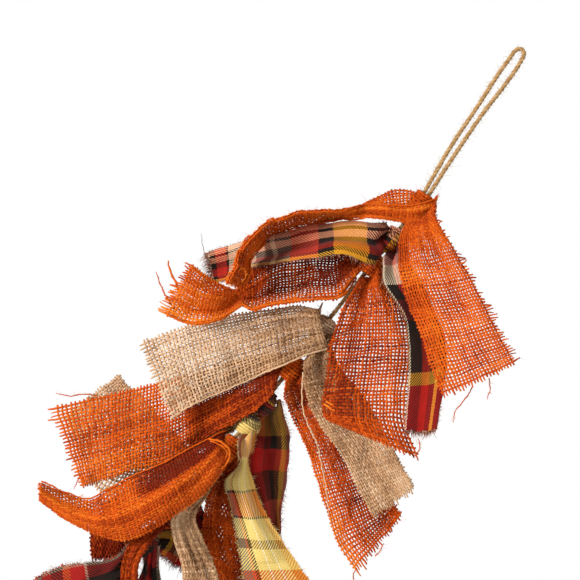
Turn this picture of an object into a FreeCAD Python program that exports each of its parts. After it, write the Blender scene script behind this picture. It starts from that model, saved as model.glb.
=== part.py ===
"""Tied-strip fabric garland: burlap and plaid strips knotted round a jute
twine, with a hanging loop at each end.

X right, Y away from the front, Z up, millimetres.  The origin is the outermost
point of the hanging loop.  The garland hangs in the X-Z plane.
"""
import math
import os

import FreeCAD
import Part

# ---- driving dimensions, mm ------------------------------------------------
TWINE_DIAMETER = 2.7
LOOP_LENGTH = 109.2            # end knot face to outside of the fold
LOOP_FOLD_SIDE = 3.6           # side of the three-cornered fold
STRAND_OFFSET = 1.6            # loop strand from the twine line at the knot
END_KNOT_RADIUS = 4.4
END_KNOT_LENGTH = 9.0
BURLAP_THICKNESS = 1.8
FLANNEL_THICKNESS = 1.4
TIE_OUTER_RADIUS = 7.5
TIE_HALF_LENGTH = 7.0
END_TIE_HALF_LENGTH = 9.0
TIE_SIDES = 12
STRAIGHT_BORE = 1.40           # inscribed radius, on the straight stretch
CURVED_BORE = 1.90             # inscribed radius, where the twine curves
END_KNOT_BORE = 4.50           # inscribed radius, round the end knots
COLUMNS = 4                    # points across a tail
ARC_SHARE = 0.45               # share of the shorter run an arc uses

# corners of the backbone twine between the end knots' centres
TWINE_CORNERS = [
    (-62.23, 0.0, -95.15),
    (-176.90, 0.0, -242.17),
    (-217.77, 0.0, -288.53),
    (-250.10, 0.0, -323.91),
    (-275.72, 0.0, -350.75),
]

# loop corners: distance out from the end knot, distance across the loop
LOOP_CORNERS = [
    (0.0, -1.6), (14.0, -2.4), (38.0, -3.7), (62.5, -2.9), (86.5, -3.2), (99.5, -2.6),
    (106.5, -2.3), (108.3, 0.8), (106.5, 3.9),
    (99.5, 4.3), (86.5, 4.2), (62.5, 1.9), (38.0, 1.4), (14.0, 1.25), (0.0, 1.6),
]
HANGING_LOOP_DIRECTION = (0.5445, 0.0, 0.8388)
END_LOOP_DIRECTION = (-0.7220, 0.0, -0.6919)

# Each tail row is (first edge point, second edge point, bulge to the front).
TIES = [
    {
        "node": "orange_burlap_tie_1",
        "thickness": BURLAP_THICKNESS,
        "bore": END_KNOT_BORE,
        "half_length": END_TIE_HALF_LENGTH,
        "centre": (-62.23, 0, -95.15),
        "along": (-0.61503, 0, -0.7885),
        "upper_tail": [
            ((-66, 0.7, -89.8), (-68.3, -0.7, -92.8), 0),
            ((-75.7, -1, -86), (-76.6, -9, -99.7), 1.5),
            ((-85.6, -5, -94.7), (-85.8, -12, -107), 1.2),
            ((-93.5, -8, -96), (-93.5, -8, -105.7), 0.6),
            ((-101.6, -13, -97.1), (-101.3, -4, -104.4), 0),
            ((-114.4, -21, -97.9), (-114, 5, -106), 0),
            ((-129.5, -27, -99), (-129.3, 6, -106.6), 0),
            ((-144.5, -31, -102.7), (-144.6, 5, -110.9), 0),
            ((-157.1, -35, -108.8), (-155.5, -3, -113.8), 0),
            ((-165.4, -38, -117.2), (-162.1, -12, -121), 0),
            ((-169.9, -40, -128), (-167.2, -16, -130.1), 0),
            ((-171.6, -40, -138.1), (-168.1, -18, -138.6), 0),
            ((-174.4, -38, -147), (-169.3, -20, -147), 0),
        ],
        "lower_tail": [
            ((-59.8, 0.3, -102.3), (-54.7, -0.3, -95.7), 0),
            ((-72.1, -19.3, -112), (-53.5, -21.2, -107.2), 1),
            ((-76.4, -21.4, -127.1), (-44.3, -29.4, -121.8), 1.5),
            ((-73.6, -25.6, -147), (-34.1, -39.3, -140.5), 2),
            ((-65.6, -36, -170.3), (-24.1, -49.9, -161.3), 2),
            ((-57.7, -46.4, -193.4), (-15.3, -59.3, -179.5), 2),
            ((-49.9, -56.3, -214.4), (-8.2, -66.8, -193.5), 2),
        ],
    },
    {
        "node": "plaid_flannel_tie_1",
        "thickness": FLANNEL_THICKNESS,
        "bore": STRAIGHT_BORE,
        "half_length": TIE_HALF_LENGTH,
        "centre": (-79.82, 0, -117.71),
        "along": (-0.61503, 0, -0.7885),
        "upper_tail": [
            ((-82.5, 0.9, -110.5), (-85.9, -0.9, -118), 0),
            ((-89.2, -6, -107.5), (-88.9, -14, -131.9), 3),
            ((-99, -6, -106.9), (-99.3, -20, -128.9), 3),
            ((-111.1, -5, -107.8), (-110.2, -22, -125.9), 3),
            ((-123.3, -4, -109), (-123.4, -20, -128.3), 3),
            ((-135.4, -3, -111.4), (-135.5, -18, -130.7), 3),
            ((-148.2, -2, -115.3), (-147.6, -14, -132.8), 3),
            ((-159.8, 1, -118), (-160.3, -8, -134.9), 1),
            ((-172.1, 2, -120.1), (-173.2, -2, -137.9), 1),
            ((-182.4, 2, -122.6), (-181.2, 0, -142.7), 1),
            ((-191.6, 2, -125.6), (-187.9, -1, -143.4), 1),
        ],
        "lower_tail": [
            ((-78.7, -0, -123.8), (-72.1, 0, -118.5), 0),
            ((-85.4, -18.5, -133.7), (-69.1, -18.3, -131.3), 0.5),
            ((-84.1, -16.9, -144.6), (-63.2, -22.5, -142.2), 0.5),
            ((-78.2, -20.9, -154.3), (-58.6, -26.1, -151.8), 0.5),
            ((-72.9, -24.5, -163.3), (-55.1, -29.2, -160.8), 0.5),
            ((-70.1, -28.8, -178.2), (-49.4, -34.1, -174.6), 0.5),
            ((-69.7, -33.1, -196.1), (-47.8, -38.7, -192.4), 0.5),
            ((-71, -36.8, -214), (-50.4, -42.4, -211.4), 0.5),
            ((-72.4, -40.7, -232.3), (-54.1, -46, -231.4), 0.5),
        ],
    },
    {
        "node": "orange_burlap_tie_2",
        "thickness": BURLAP_THICKNESS,
        "bore": STRAIGHT_BORE,
        "half_length": TIE_HALF_LENGTH,
        "centre": (-91.23, 0, -132.33),
        "along": (-0.61503, 0, -0.7885),
        "upper_tail": [
            ((-94.4, 0.6, -126.2), (-96.9, -0.6, -131.6), 0),
            ((-104.9, 2, -119.5), (-105, -6, -144.6), 0.5),
            ((-114.6, 4, -120.1), (-111.2, -11, -153.1), 0),
            ((-126.2, 4, -120.1), (-124.6, -14, -154.9), 0),
            ((-140.3, 3, -122.6), (-139.7, -15.5, -156.7), 0),
            ((-153.7, 1, -126.9), (-153.6, -17, -158.5), 0),
            ((-163.5, -2, -134.8), (-164.5, -18, -159.7), 0),
            ((-170.1, -7, -144.6), (-171.1, -18, -156.7), 0),
            ((-174.9, -10, -148.8), (-178.9, -21, -162.1), 0),
            ((-183.8, -16, -145.2), (-187.8, -25, -166.9), 1.5),
            ((-193.4, -20, -139.2), (-201.6, -27, -168.1), 2.5),
            ((-201.2, -22, -133.2), (-215.3, -29, -162.6), 2),
        ],
        "lower_tail": [
            ((-90.1, -0.2, -138.4), (-83.5, 0.2, -133.2), 0),
            ((-100.3, -13.4, -144.6), (-82.2, -12.5, -142.8), 1),
            ((-107, -14.1, -154.9), (-76.2, -15.3, -153.7), 1),
            ((-112.5, -15, -167.6), (-72.1, -18, -165.1), 1.5),
            ((-116.7, -11.1, -181), (-69.2, -20.8, -179.6), 1.5),
            ((-119.7, -13.7, -199.1), (-69.9, -23.3, -196.4), 1.5),
            ((-122.2, -15.9, -215.9), (-71.8, -25.9, -215.6), 1.5),
            ((-121, -17.4, -224.3), (-71.3, -28.5, -231.1), 1.5),
            ((-117.4, -18.6, -227.3), (-64.9, -32.5, -248.3), 1.5),
        ],
    },
    {
        "node": "natural_burlap_tie_1",
        "thickness": BURLAP_THICKNESS,
        "bore": STRAIGHT_BORE,
        "half_length": TIE_HALF_LENGTH,
        "centre": (-121.65, 0, -171.34),
        "along": (-0.61503, 0, -0.7885),
        "upper_tail": [
            ((-124.4, -0.2, -164), (-127.7, 0.2, -171.7), 0),
            ((-124.5, -9.3, -159.8), (-118.4, -7.6, -182.9), 2),
            ((-135.5, -9.3, -157.9), (-131.8, -13.2, -187.6), 2),
            ((-152.4, -11.2, -159.7), (-145.8, -13.4, -193.6), 2),
            ((-171.2, -13.1, -162.8), (-162.8, -8.6, -201), 2),
            ((-189.3, -15, -166.4), (-179.1, -9.9, -208.3), 2),
            ((-207.4, -16.7, -171.2), (-196.1, -11.2, -215.5), 2),
            ((-230.3, -18.6, -180.2), (-213, -12.2, -225.8), 2),
        ],
        "lower_tail": [
            ((-120.4, -0.7, -177.4), (-114.1, 0.7, -172.1), 0),
            ((-133, -11.9, -191.9), (-116, -6.3, -183.5), 1),
            ((-133, -6.1, -202.9), (-111.1, -7.1, -195.6), 1),
            ((-130.6, -6.8, -213.9), (-100.2, -8.3, -208.9), 1),
            ((-122.1, -8.1, -232), (-90.6, -9.5, -224.7), 1),
            ((-110, -9.5, -248.3), (-80.3, -10.9, -242.8), 1),
            ((-101.5, -10.7, -265.9), (-72.4, -12, -257.3), 1),
            ((-91.8, -12, -284), (-67, -12.7, -267.6), 1),
        ],
    },
    {
        "node": "orange_burlap_tie_3",
        "thickness": BURLAP_THICKNESS,
        "bore": STRAIGHT_BORE,
        "half_length": TIE_HALF_LENGTH,
        "centre": (-140.67, 0, -195.73),
        "along": (-0.61503, 0, -0.7885),
        "upper_tail": [
            ((-143.5, 1.3, -188.6), (-146.7, -1.3, -196), 0),
            ((-154.9, 0.9, -187.3), (-152.4, -10.5, -211.3), 0),
            ((-165.3, 1.2, -189.1), (-160.3, -10.5, -219.8), 0),
            ((-176.9, 1.6, -192.2), (-171.9, -8.9, -227.1), 0.3),
            ((-192.8, 2.1, -197.1), (-189.1, 0.7, -236.7), 0.8),
            ((-214.2, 2.8, -203.2), (-214.2, 1.1, -252.6), 2),
            ((-238.7, 3.6, -209.4), (-238.6, 1.9, -258.1), 2),
            ((-260.1, 4.2, -214.3), (-255.7, 2.3, -264.3), 2),
            ((-285.3, 5, -219.8), (-268.6, 2.7, -268), 2),
        ],
        "lower_tail": [
            ((-139.4, -1.3, -201.7), (-133.1, 1.3, -196.7), 0),
            ((-144.6, -9.2, -206.5), (-124.4, 2.4, -199.5), 0.5),
            ((-142.7, 2.1, -220.3), (-114.6, 4.9, -213.1), 0.5),
            ((-133.6, 5.1, -239.4), (-104.8, 7.9, -231.6), 1.5),
            ((-125.6, 8.2, -261), (-93.6, 11.2, -251.3), 1.5),
            ((-118.8, 11.2, -283.9), (-83.7, 14.1, -269.3), 1.5),
            ((-110.2, 14.6, -307.5), (-76.9, 16.2, -282.4), 1.5),
            ((-101.5, 17, -320.6), (-73.8, 17, -286.2), 1.5),
        ],
    },
    {
        "node": "plaid_flannel_tie_2",
        "thickness": FLANNEL_THICKNESS,
        "bore": CURVED_BORE,
        "half_length": TIE_HALF_LENGTH,
        "centre": (-156.84, 0, -216.46),
        "along": (-0.61503, 0, -0.7885),
        "upper_tail": [
            ((-159.7, -1.4, -209.4), (-162.8, 1.4, -216.7), 0),
            ((-169.7, 6, -213.1), (-167.3, 12, -224.4), 0.5),
            ((-180.7, 8, -213.2), (-177.2, 13, -230.6), 0.5),
            ((-193, 10, -216.9), (-189.4, 13, -237.9), 0.5),
            ((-204.2, 12, -221.9), (-200.5, 13, -240.4), 0.5),
        ],
        "lower_tail": [
            ((-155.7, 0.7, -222.5), (-149.2, -0.7, -217.3), 0),
            ((-163.6, 11.2, -226.2), (-145.8, 6.8, -224.2), 1.5),
            ((-166.1, 11.1, -237.8), (-142.1, 10.6, -236.6), 1.5),
            ((-167.2, 6.3, -249.2), (-142.7, 13.3, -249.6), 1.5),
            ((-166.7, 9.4, -261.7), (-144, 15.4, -260.8), 1.5),
            ((-163.6, 12.7, -272.3), (-145.2, 17.4, -271.4), 1.5),
            ((-158.8, 17, -284.9), (-147.1, 19.6, -282.7), 1.5),
            ((-155.1, 20.9, -297.6), (-147.7, 22.6, -296.5), 1.5),
        ],
    },
    {
        "node": "yellow_plaid_tie",
        "thickness": FLANNEL_THICKNESS,
        "bore": CURVED_BORE,
        "half_length": TIE_HALF_LENGTH,
        "centre": (-167.5, 0, -230.12),
        "along": (-0.61503, 0, -0.7885),
        "upper_tail": [
            ((-170.3, -0.8, -222.9), (-173.5, 0.8, -230.5), 0),
            ((-177.6, 6, -226.6), (-175.8, 8, -234), 0.3),
            ((-188.7, 6.5, -229), (-188.7, 8, -240.1), 0.3),
            ((-202.8, 7.5, -235.2), (-201.6, 8.5, -246.3), 0.3),
        ],
        "lower_tail": [
            ((-166.2, -1.2, -236), (-159.9, 1.2, -231.1), 0),
            ((-173.1, -10.8, -239.2), (-162.2, -5.6, -237), 1),
            ((-173.7, -9, -246.6), (-163.5, -0.5, -245.8), 1),
            ((-172, -0.7, -253.7), (-167.1, -0.3, -252.5), 1),
            ((-180.5, -0.6, -264.7), (-164.1, 1.3, -264.2), 1),
            ((-177.5, 1.3, -278.9), (-159.9, 3.2, -277.8), 1),
            ((-174.5, 3.2, -293.7), (-150.1, 6.2, -295.8), 1),
            ((-172.1, 5, -308.5), (-141.5, 8.7, -309.4), 1),
            ((-169.7, 6.9, -324.6), (-131.7, 11.3, -323.8), 1),
            ((-166, 8.9, -339.5), (-123.1, 13.6, -336.3), 1),
        ],
    },
    {
        "node": "orange_burlap_tie_4",
        "thickness": BURLAP_THICKNESS,
        "bore": CURVED_BORE,
        "half_length": TIE_HALF_LENGTH,
        "centre": (-178.51, 0, -244),
        "along": (-0.6613, 0, -0.75013),
        "upper_tail": [
            ((-181.4, 0.3, -236.3), (-184, -0.3, -244.3), 0),
            ((-191.2, -13, -239.7), (-179.7, -14, -252.3), 3),
            ((-203.2, -15, -245.6), (-192.2, -18, -270.8), 5),
            ((-218.3, -15, -254.1), (-207.8, -22, -282), 7),
            ((-237.2, -14, -262), (-227.7, -22, -294.6), 7),
            ((-251.7, -13, -270), (-243.5, -19, -299.7), 6),
            ((-263.9, -12, -276.1), (-260.6, -17, -295.1), 4),
            ((-278.3, -14, -271.7), (-276.1, -19, -287.7), 2),
            ((-292.6, -17, -264.8), (-291, -21, -276.6), 1),
        ],
        "lower_tail": [
            ((-177.7, 1.3, -249.9), (-170.9, -1.3, -245.6), 0),
            ((-187, 13.2, -261.3), (-174, 7.7, -263.4), 0.5),
            ((-193.5, 6, -276.1), (-173.4, 11.1, -282), 0.5),
            ((-194.9, 9.1, -295.4), (-171, 14.5, -298.9), 0.5),
            ((-192.5, 12.4, -311.6), (-169.2, 17.7, -315.8), 0.5),
            ((-186.5, 16.5, -328), (-167.4, 20.9, -332.1), 0.5),
            ((-183.5, 19.8, -343.1), (-163.8, 24.1, -346), 0.5),
        ],
    },
    {
        "node": "natural_burlap_tie_2",
        "thickness": BURLAP_THICKNESS,
        "bore": CURVED_BORE,
        "half_length": TIE_HALF_LENGTH,
        "centre": (-191.42, 0, -258.64),
        "along": (-0.6613, 0, -0.75013),
        "upper_tail": [
            ((-193.6, -0.2, -251.3), (-197.6, 0.2, -258.6), 0),
            ((-203.1, 17.8, -246.8), (-205.6, 19.2, -264.1), 1.5),
            ((-217, 25.8, -232.4), (-232.8, 20.1, -271.6), 1.5),
            ((-230.4, 33.4, -218.4), (-260.5, 28.3, -271.5), 1.5),
            ((-240.6, 38.8, -209.3), (-272.3, 37.8, -249.1), 1.5),
            ((-249, 43.3, -201.3), (-281.6, 45.8, -228.9), 1.5),
        ],
        "lower_tail": [
            ((-190.6, -1, -264.6), (-183.8, 1, -260.1), 0),
            ((-197.4, -9, -264.8), (-188.3, -6, -265), 0.5),
            ((-204.5, -12, -273.1), (-193.7, -10, -272), 1),
            ((-216.6, -13.5, -285.1), (-201.6, -10, -284.7), 1),
            ((-216.2, -9, -300), (-197.5, -4, -300.4), 1),
            ((-212.1, -5, -313.7), (-192.7, -2, -312.7), 1.5),
            ((-211, -2, -326.2), (-188.5, 0, -325.7), 1.5),
            ((-208.6, 0, -343.4), (-183.1, 3, -341.3), 1.5),
        ],
    },
    {
        "node": "plaid_flannel_tie_3",
        "thickness": FLANNEL_THICKNESS,
        "bore": CURVED_BORE,
        "half_length": TIE_HALF_LENGTH,
        "centre": (-203.52, 0, -272.37),
        "along": (-0.6613, 0, -0.75013),
        "upper_tail": [
            ((-206.2, -1.8, -265.2), (-209.3, 1.8, -272.1), 0),
            ((-215.2, 10.9, -267.3), (-211.8, 18, -277.6), 1),
            ((-227.5, 12.4, -267.4), (-222.8, 16.9, -286.2), 1),
            ((-242.3, 13.6, -272.4), (-237.3, 10.8, -293.1), 1),
            ((-255.9, 14.5, -279.2), (-252.1, 12.2, -296.2), 1),
        ],
        "lower_tail": [
            ((-202.7, 0.9, -278.4), (-196, -0.9, -273.7), 0),
            ((-211.8, 19.1, -285.1), (-195.6, 13.4, -282.2), 0.5),
            ((-220.4, 19.3, -295.6), (-189.6, 18.3, -292.4), 0.5),
            ((-225.4, 19.5, -303), (-189.1, 22.4, -306.3), 0.5),
            ((-227.8, 19.5, -307.3), (-202.1, 23.1, -323.1), 0.5),
        ],
    },
    {
        "node": "orange_burlap_tie_5",
        "thickness": BURLAP_THICKNESS,
        "bore": CURVED_BORE,
        "half_length": TIE_HALF_LENGTH,
        "centre": (-214.82, 0, -285.18),
        "along": (-0.6613, 0, -0.75013),
        "upper_tail": [
            ((-217.3, -1.4, -277.9), (-220.8, 1.4, -285), 0),
            ((-229.5, 3.1, -277.8), (-227.4, 9.2, -289.2), 1),
            ((-246.7, 4, -277.8), (-232.1, 6.4, -291.5), 1),
            ((-262, 4.1, -292.5), (-237.1, 7.4, -297.7), 1),
            ((-263.1, 3.3, -310.8), (-241, 11.4, -311.5), 1),
        ],
        "lower_tail": [
            ((-214.1, -0.1, -291.3), (-207.2, 0.1, -286.5), 0),
            ((-231.3, -9.5, -293.9), (-219.2, -9, -293.9), 1),
            ((-240.2, -13.5, -305), (-228.7, -13, -305.1), 1.5),
            ((-243.2, -14.5, -315.2), (-233.5, -14, -315.3), 2),
            ((-243.8, -14, -328.6), (-233, -13, -328.7), 2),
            ((-243.3, -12, -343.3), (-230.6, -11, -343.4), 2),
        ],
    },
    {
        "node": "plaid_flannel_tie_4",
        "thickness": FLANNEL_THICKNESS,
        "bore": CURVED_BORE,
        "half_length": TIE_HALF_LENGTH,
        "centre": (-230.11, 0, -302.04),
        "along": (-0.67457, 0, -0.73821),
        "upper_tail": [
            ((-232.5, 0, -294.5), (-236, 0, -302.1), 0),
            ((-243.5, -9.5, -307.8), (-239.8, -9.5, -315.7), 0.5),
            ((-251.7, -13, -312.3), (-248.1, -13, -332.3), 3),
            ((-265, -14.5, -313.4), (-259.5, -14, -343.1), 5),
            ((-278.3, -14.5, -315.8), (-273.5, -14, -349.2), 5),
            ((-291.7, -13, -320.8), (-288.1, -13, -354.1), 4),
        ],
        "lower_tail": [
            ((-229.8, 0.7, -307.4), (-222.2, -0.7, -304.3), 0),
            ((-230.9, 6.2, -317.2), (-221, 4.4, -325.6), 1),
            ((-235.7, 3.7, -331.6), (-214.9, 5.5, -335.5), 1),
            ((-235.7, 4.9, -348.9), (-210.1, 6.8, -347.8), 1),
            ((-229.7, 6.7, -367.4), (-202.8, 8.4, -362.7), 1),
        ],
    },
    {
        "node": "orange_burlap_tie_6",
        "thickness": BURLAP_THICKNESS,
        "bore": CURVED_BORE,
        "half_length": TIE_HALF_LENGTH,
        "centre": (-245.75, 0, -319.15),
        "along": (-0.67457, 0, -0.73821),
        "upper_tail": [
            ((-249, 0.8, -313.5), (-250.8, -0.8, -317.2), 0),
            ((-261, -1, -315.3), (-255.6, -10, -331.4), 1),
            ((-269.5, -1.2, -315.3), (-264.1, -10, -338.7), 1),
            ((-281.7, -1.5, -317.1), (-275, -10, -349.6), 1),
            ((-295.7, -1.7, -323.7), (-290.8, -9.5, -360.6), 1),
            ((-309.7, -1.8, -333.5), (-305.5, -8.3, -372.9), 1),
        ],
        "lower_tail": [
            ((-245, 0.1, -325.4), (-238.2, -0.1, -320.5), 0),
            ((-245, -3.2, -333.3), (-232.8, -3.6, -329.6), 0.3),
            ((-243.8, -3.7, -347.9), (-221.9, -4.2, -341.8), 0.3),
            ((-238.9, -4.3, -366.1), (-210.9, -4.8, -358.7), 0.5),
            ((-231.6, -5, -385.5), (-202.3, -5.5, -378.1), 0.5),
        ],
    },
    {
        "node": "natural_burlap_tie_3",
        "thickness": BURLAP_THICKNESS,
        "bore": END_KNOT_BORE,
        "half_length": END_TIE_HALF_LENGTH,
        "centre": (-275.72, 0, -350.75),
        "along": (-0.69048, 0, -0.72336),
        "upper_tail": [
            ((-278.8, 0.2, -344.8), (-281.8, -0.2, -348), 0),
            ((-288.1, 1.7, -343.6), (-284.3, 0.4, -354.5), 1),
            ((-301.6, 3.2, -340.1), (-299, 1.2, -360.7), 1),
            ((-317.7, 4.7, -339), (-315, 2.2, -365.7), 1),
            ((-334.9, 6, -341.6), (-332.2, 3.4, -369.5), 1),
        ],
        "lower_tail": [
            ((-274.1, -0.1, -358.1), (-268.3, 0.1, -352.1), 0),
            ((-270.9, 0.9, -364.3), (-257.5, 1.5, -361.9), 1.5),
            ((-266.1, 2, -381.5), (-241.7, 2.9, -375.5), 1.5),
            ((-258.8, 3.2, -400), (-229.6, 4.3, -392.8), 1.5),
            ((-252.8, 4.4, -418.5), (-221.1, 5.6, -410.1), 1.5),
        ],
    },
]


# ---- vector helpers --------------------------------------------------------
V = FreeCAD.Vector


def unit(v):
    n = math.sqrt(v[0] ** 2 + v[1] ** 2 + v[2] ** 2) or 1.0
    return V(v[0] / n, v[1] / n, v[2] / n)


# ---- twine ------------------------------------------------------------------
def tube(points, diameter, name):
    """Straight runs joined by tangent arcs, swept with a round section."""
    pts = [V(*p) for p in points]
    edges = []
    start = pts[0]
    radii = []
    for i in range(1, len(pts) - 1):
        a, c, b = pts[i - 1], pts[i], pts[i + 1]
        d1, d2 = (c - a), (b - c)
        l1, l2 = d1.Length, d2.Length
        d1.normalize()
        d2.normalize()
        turn = math.acos(max(-1.0, min(1.0, d1.dot(d2))))
        cut = ARC_SHARE * min(l1, l2)
        radius = cut / math.tan(turn / 2.0)
        radii.append(radius)
        p1 = c - d1 * cut
        p2 = c + d2 * cut
        bis = (d2 - d1)
        bis.normalize()
        centre = c + bis * (radius / math.cos(turn / 2.0))
        mid = centre - bis * radius
        edges.append(Part.LineSegment(start, p1).toShape())
        edges.append(Part.Arc(p1, mid, p2).toShape())
        start = p2
    edges.append(Part.LineSegment(start, pts[-1]).toShape())
    path = Part.Wire(edges)
    d = pts[1] - pts[0]
    section = Part.Wire(Part.makeCircle(diameter / 2.0, pts[0], d))
    solid = path.makePipeShell([section], True, False)
    want = math.pi * (diameter / 2.0) ** 2 * path.Length
    print("%s: length %.1f mm, smallest radius %.2f mm, volume %.1f of %.1f mm3"
          % (name, path.Length, min(radii), solid.Volume, want))
    return solid


def loop(face_centre, direction, mirror, name):
    d = unit(direction)
    across = V(d.z, 0.0, -d.x) * mirror
    pts = []
    for s, w in LOOP_CORNERS:
        p = face_centre + d * s + across * w
        pts.append((p.x, p.y, p.z))
    return tube(pts, TWINE_DIAMETER, name)


def end_knot(centre, along):
    """Overhand knot as a turned lump with two bulges."""
    half = END_KNOT_LENGTH / 2.0
    profile = [(0.0, -half), (3.2, -half), (4.1, -half + 1.2), (END_KNOT_RADIUS, -half + 2.4),
               (4.1, -0.6), (4.1, 0.6), (END_KNOT_RADIUS, half - 2.4), (4.1, half - 1.2),
               (3.2, half), (0.0, half), (0.0, -half)]
    wire = Part.makePolygon([V(r, 0, z) for r, z in profile])
    lump = Part.Face(wire).revolve(V(0, 0, 0), V(0, 0, 1), 360)
    rot = FreeCAD.Rotation(V(0, 0, 1), V(*along))
    lump.Placement = FreeCAD.Placement(V(*centre), rot)
    return lump


# ---- tied strips ------------------------------------------------------------
def net(rows):
    grid = []
    for a, b, bulge in rows:
        line = []
        for j in range(COLUMNS):
            s = j / (COLUMNS - 1.0)
            line.append(V(a[0] + (b[0] - a[0]) * s,
                          a[1] + (b[1] - a[1]) * s - bulge * 4 * s * (1 - s),
                          a[2] + (b[2] - a[2]) * s))
        grid.append(line)
    return grid


def tail_solid(rows, thickness):
    g = net(rows)
    m = len(g)
    n = COLUMNS

    def normal(i, j):
        du = g[min(i + 1, m - 1)][j] - g[max(i - 1, 0)][j]
        dv = g[i][min(j + 1, n - 1)] - g[i][max(j - 1, 0)]
        return unit(du.cross(dv))

    layers = []
    for sign in (-1, 1):
        layers.append([[g[i][j] + normal(i, j) * (sign * thickness / 2.0) for j in range(n)]
                       for i in range(m)])
    tris = []
    for i in range(m - 1):
        for j in range(n - 1):
            for s in (0, 1):
                a, b = layers[s][i][j], layers[s][i][j + 1]
                c, d = layers[s][i + 1][j + 1], layers[s][i + 1][j]
                tris += [(a, b, c), (a, c, d)]
    for i in range(m - 1):
        for j in (0, n - 1):
            a, b = layers[0][i][j], layers[0][i + 1][j]
            c, d = layers[1][i + 1][j], layers[1][i][j]
            tris += [(a, b, c), (a, c, d)]
    for j in range(n - 1):
        for i in (0, m - 1):
            a, b = layers[0][i][j], layers[0][i][j + 1]
            c, d = layers[1][i][j + 1], layers[1][i][j]
            tris += [(a, b, c), (a, c, d)]
    faces = [Part.Face(Part.makePolygon([a, b, c, a])) for a, b, c in tris]
    shell = Part.makeShell(faces)
    shell.sewShape()
    solid = Part.makeSolid(Part.Shell(shell.Faces))
    if solid.Volume < 0:
        solid.reverse()
    return solid


def knot_ring(centre, along, half_length, bore):
    c = V(*centre)
    a = unit(along)
    x = V(0, 1, 0)
    y = a.cross(x)
    k = 1.0 / math.cos(math.pi / TIE_SIDES)

    def prism(radius):
        ring = []
        for i in range(TIE_SIDES):
            t = 2 * math.pi * i / TIE_SIDES
            ring.append(c - a * half_length + (x * math.cos(t) + y * math.sin(t)) * radius)
        ring.append(ring[0])
        return Part.Face(Part.makePolygon(ring)).extrude(a * (2 * half_length))

    outer = prism(TIE_OUTER_RADIUS)
    inner = prism(bore * k)
    return outer.cut(inner)


def tied_strip(spec):
    shape = knot_ring(spec["centre"], spec["along"], spec["half_length"], spec["bore"])
    for side in ("upper_tail", "lower_tail"):
        shape = shape.fuse(tail_solid(spec[side], spec["thickness"]))
    return shape


# ---- build ------------------------------------------------------------------
def save(shape, node):
    solids = shape.Solids
    if len(solids) == 1:
        shape = solids[0]
    ok = shape.isValid()
    print("%-24s solids %d valid %s volume %.0f" % (node, len(solids), ok, shape.Volume))
    shape.exportStep("parts/%s.step" % node)


def main():
    os.makedirs("parts", exist_ok=True)
    start = V(*TWINE_CORNERS[0])
    end = V(*TWINE_CORNERS[-1])
    d0 = unit(V(*TWINE_CORNERS[1]) - start)
    d1 = unit(end - V(*TWINE_CORNERS[-2]))
    half = END_KNOT_LENGTH / 2.0

    a = start + d0 * half
    b = end - d1 * half
    corners = [(a.x, a.y, a.z)] + TWINE_CORNERS[1:-1] + [(b.x, b.y, b.z)]
    save(tube(corners, TWINE_DIAMETER, "backbone_twine"), "backbone_twine")
    save(end_knot(start, d0), "top_knot")
    save(end_knot(end, d1), "end_knot")
    save(loop(start - d0 * half, HANGING_LOOP_DIRECTION, 1.0, "hanging_loop"), "hanging_loop")
    save(loop(end + d1 * half, END_LOOP_DIRECTION, 1.0, "end_loop"), "end_loop")
    for spec in TIES:
        save(tied_strip(spec), spec["node"])


main()
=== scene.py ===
"""Looks for the tied-strip fabric garland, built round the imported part."""

import math
import bpy
import numpy as np
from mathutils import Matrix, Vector


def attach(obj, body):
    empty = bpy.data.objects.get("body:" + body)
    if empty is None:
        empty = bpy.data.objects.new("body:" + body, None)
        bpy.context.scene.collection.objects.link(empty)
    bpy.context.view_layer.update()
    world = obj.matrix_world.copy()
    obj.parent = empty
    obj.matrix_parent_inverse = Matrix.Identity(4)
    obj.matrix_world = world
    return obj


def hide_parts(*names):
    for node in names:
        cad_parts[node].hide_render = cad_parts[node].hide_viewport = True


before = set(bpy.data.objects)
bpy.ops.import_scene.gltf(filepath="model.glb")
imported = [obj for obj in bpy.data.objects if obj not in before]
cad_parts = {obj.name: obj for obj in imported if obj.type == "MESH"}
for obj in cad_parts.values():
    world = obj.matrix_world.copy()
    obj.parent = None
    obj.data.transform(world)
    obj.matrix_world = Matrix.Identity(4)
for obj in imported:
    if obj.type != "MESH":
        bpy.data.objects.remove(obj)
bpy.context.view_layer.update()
MM = 0.001

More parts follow.
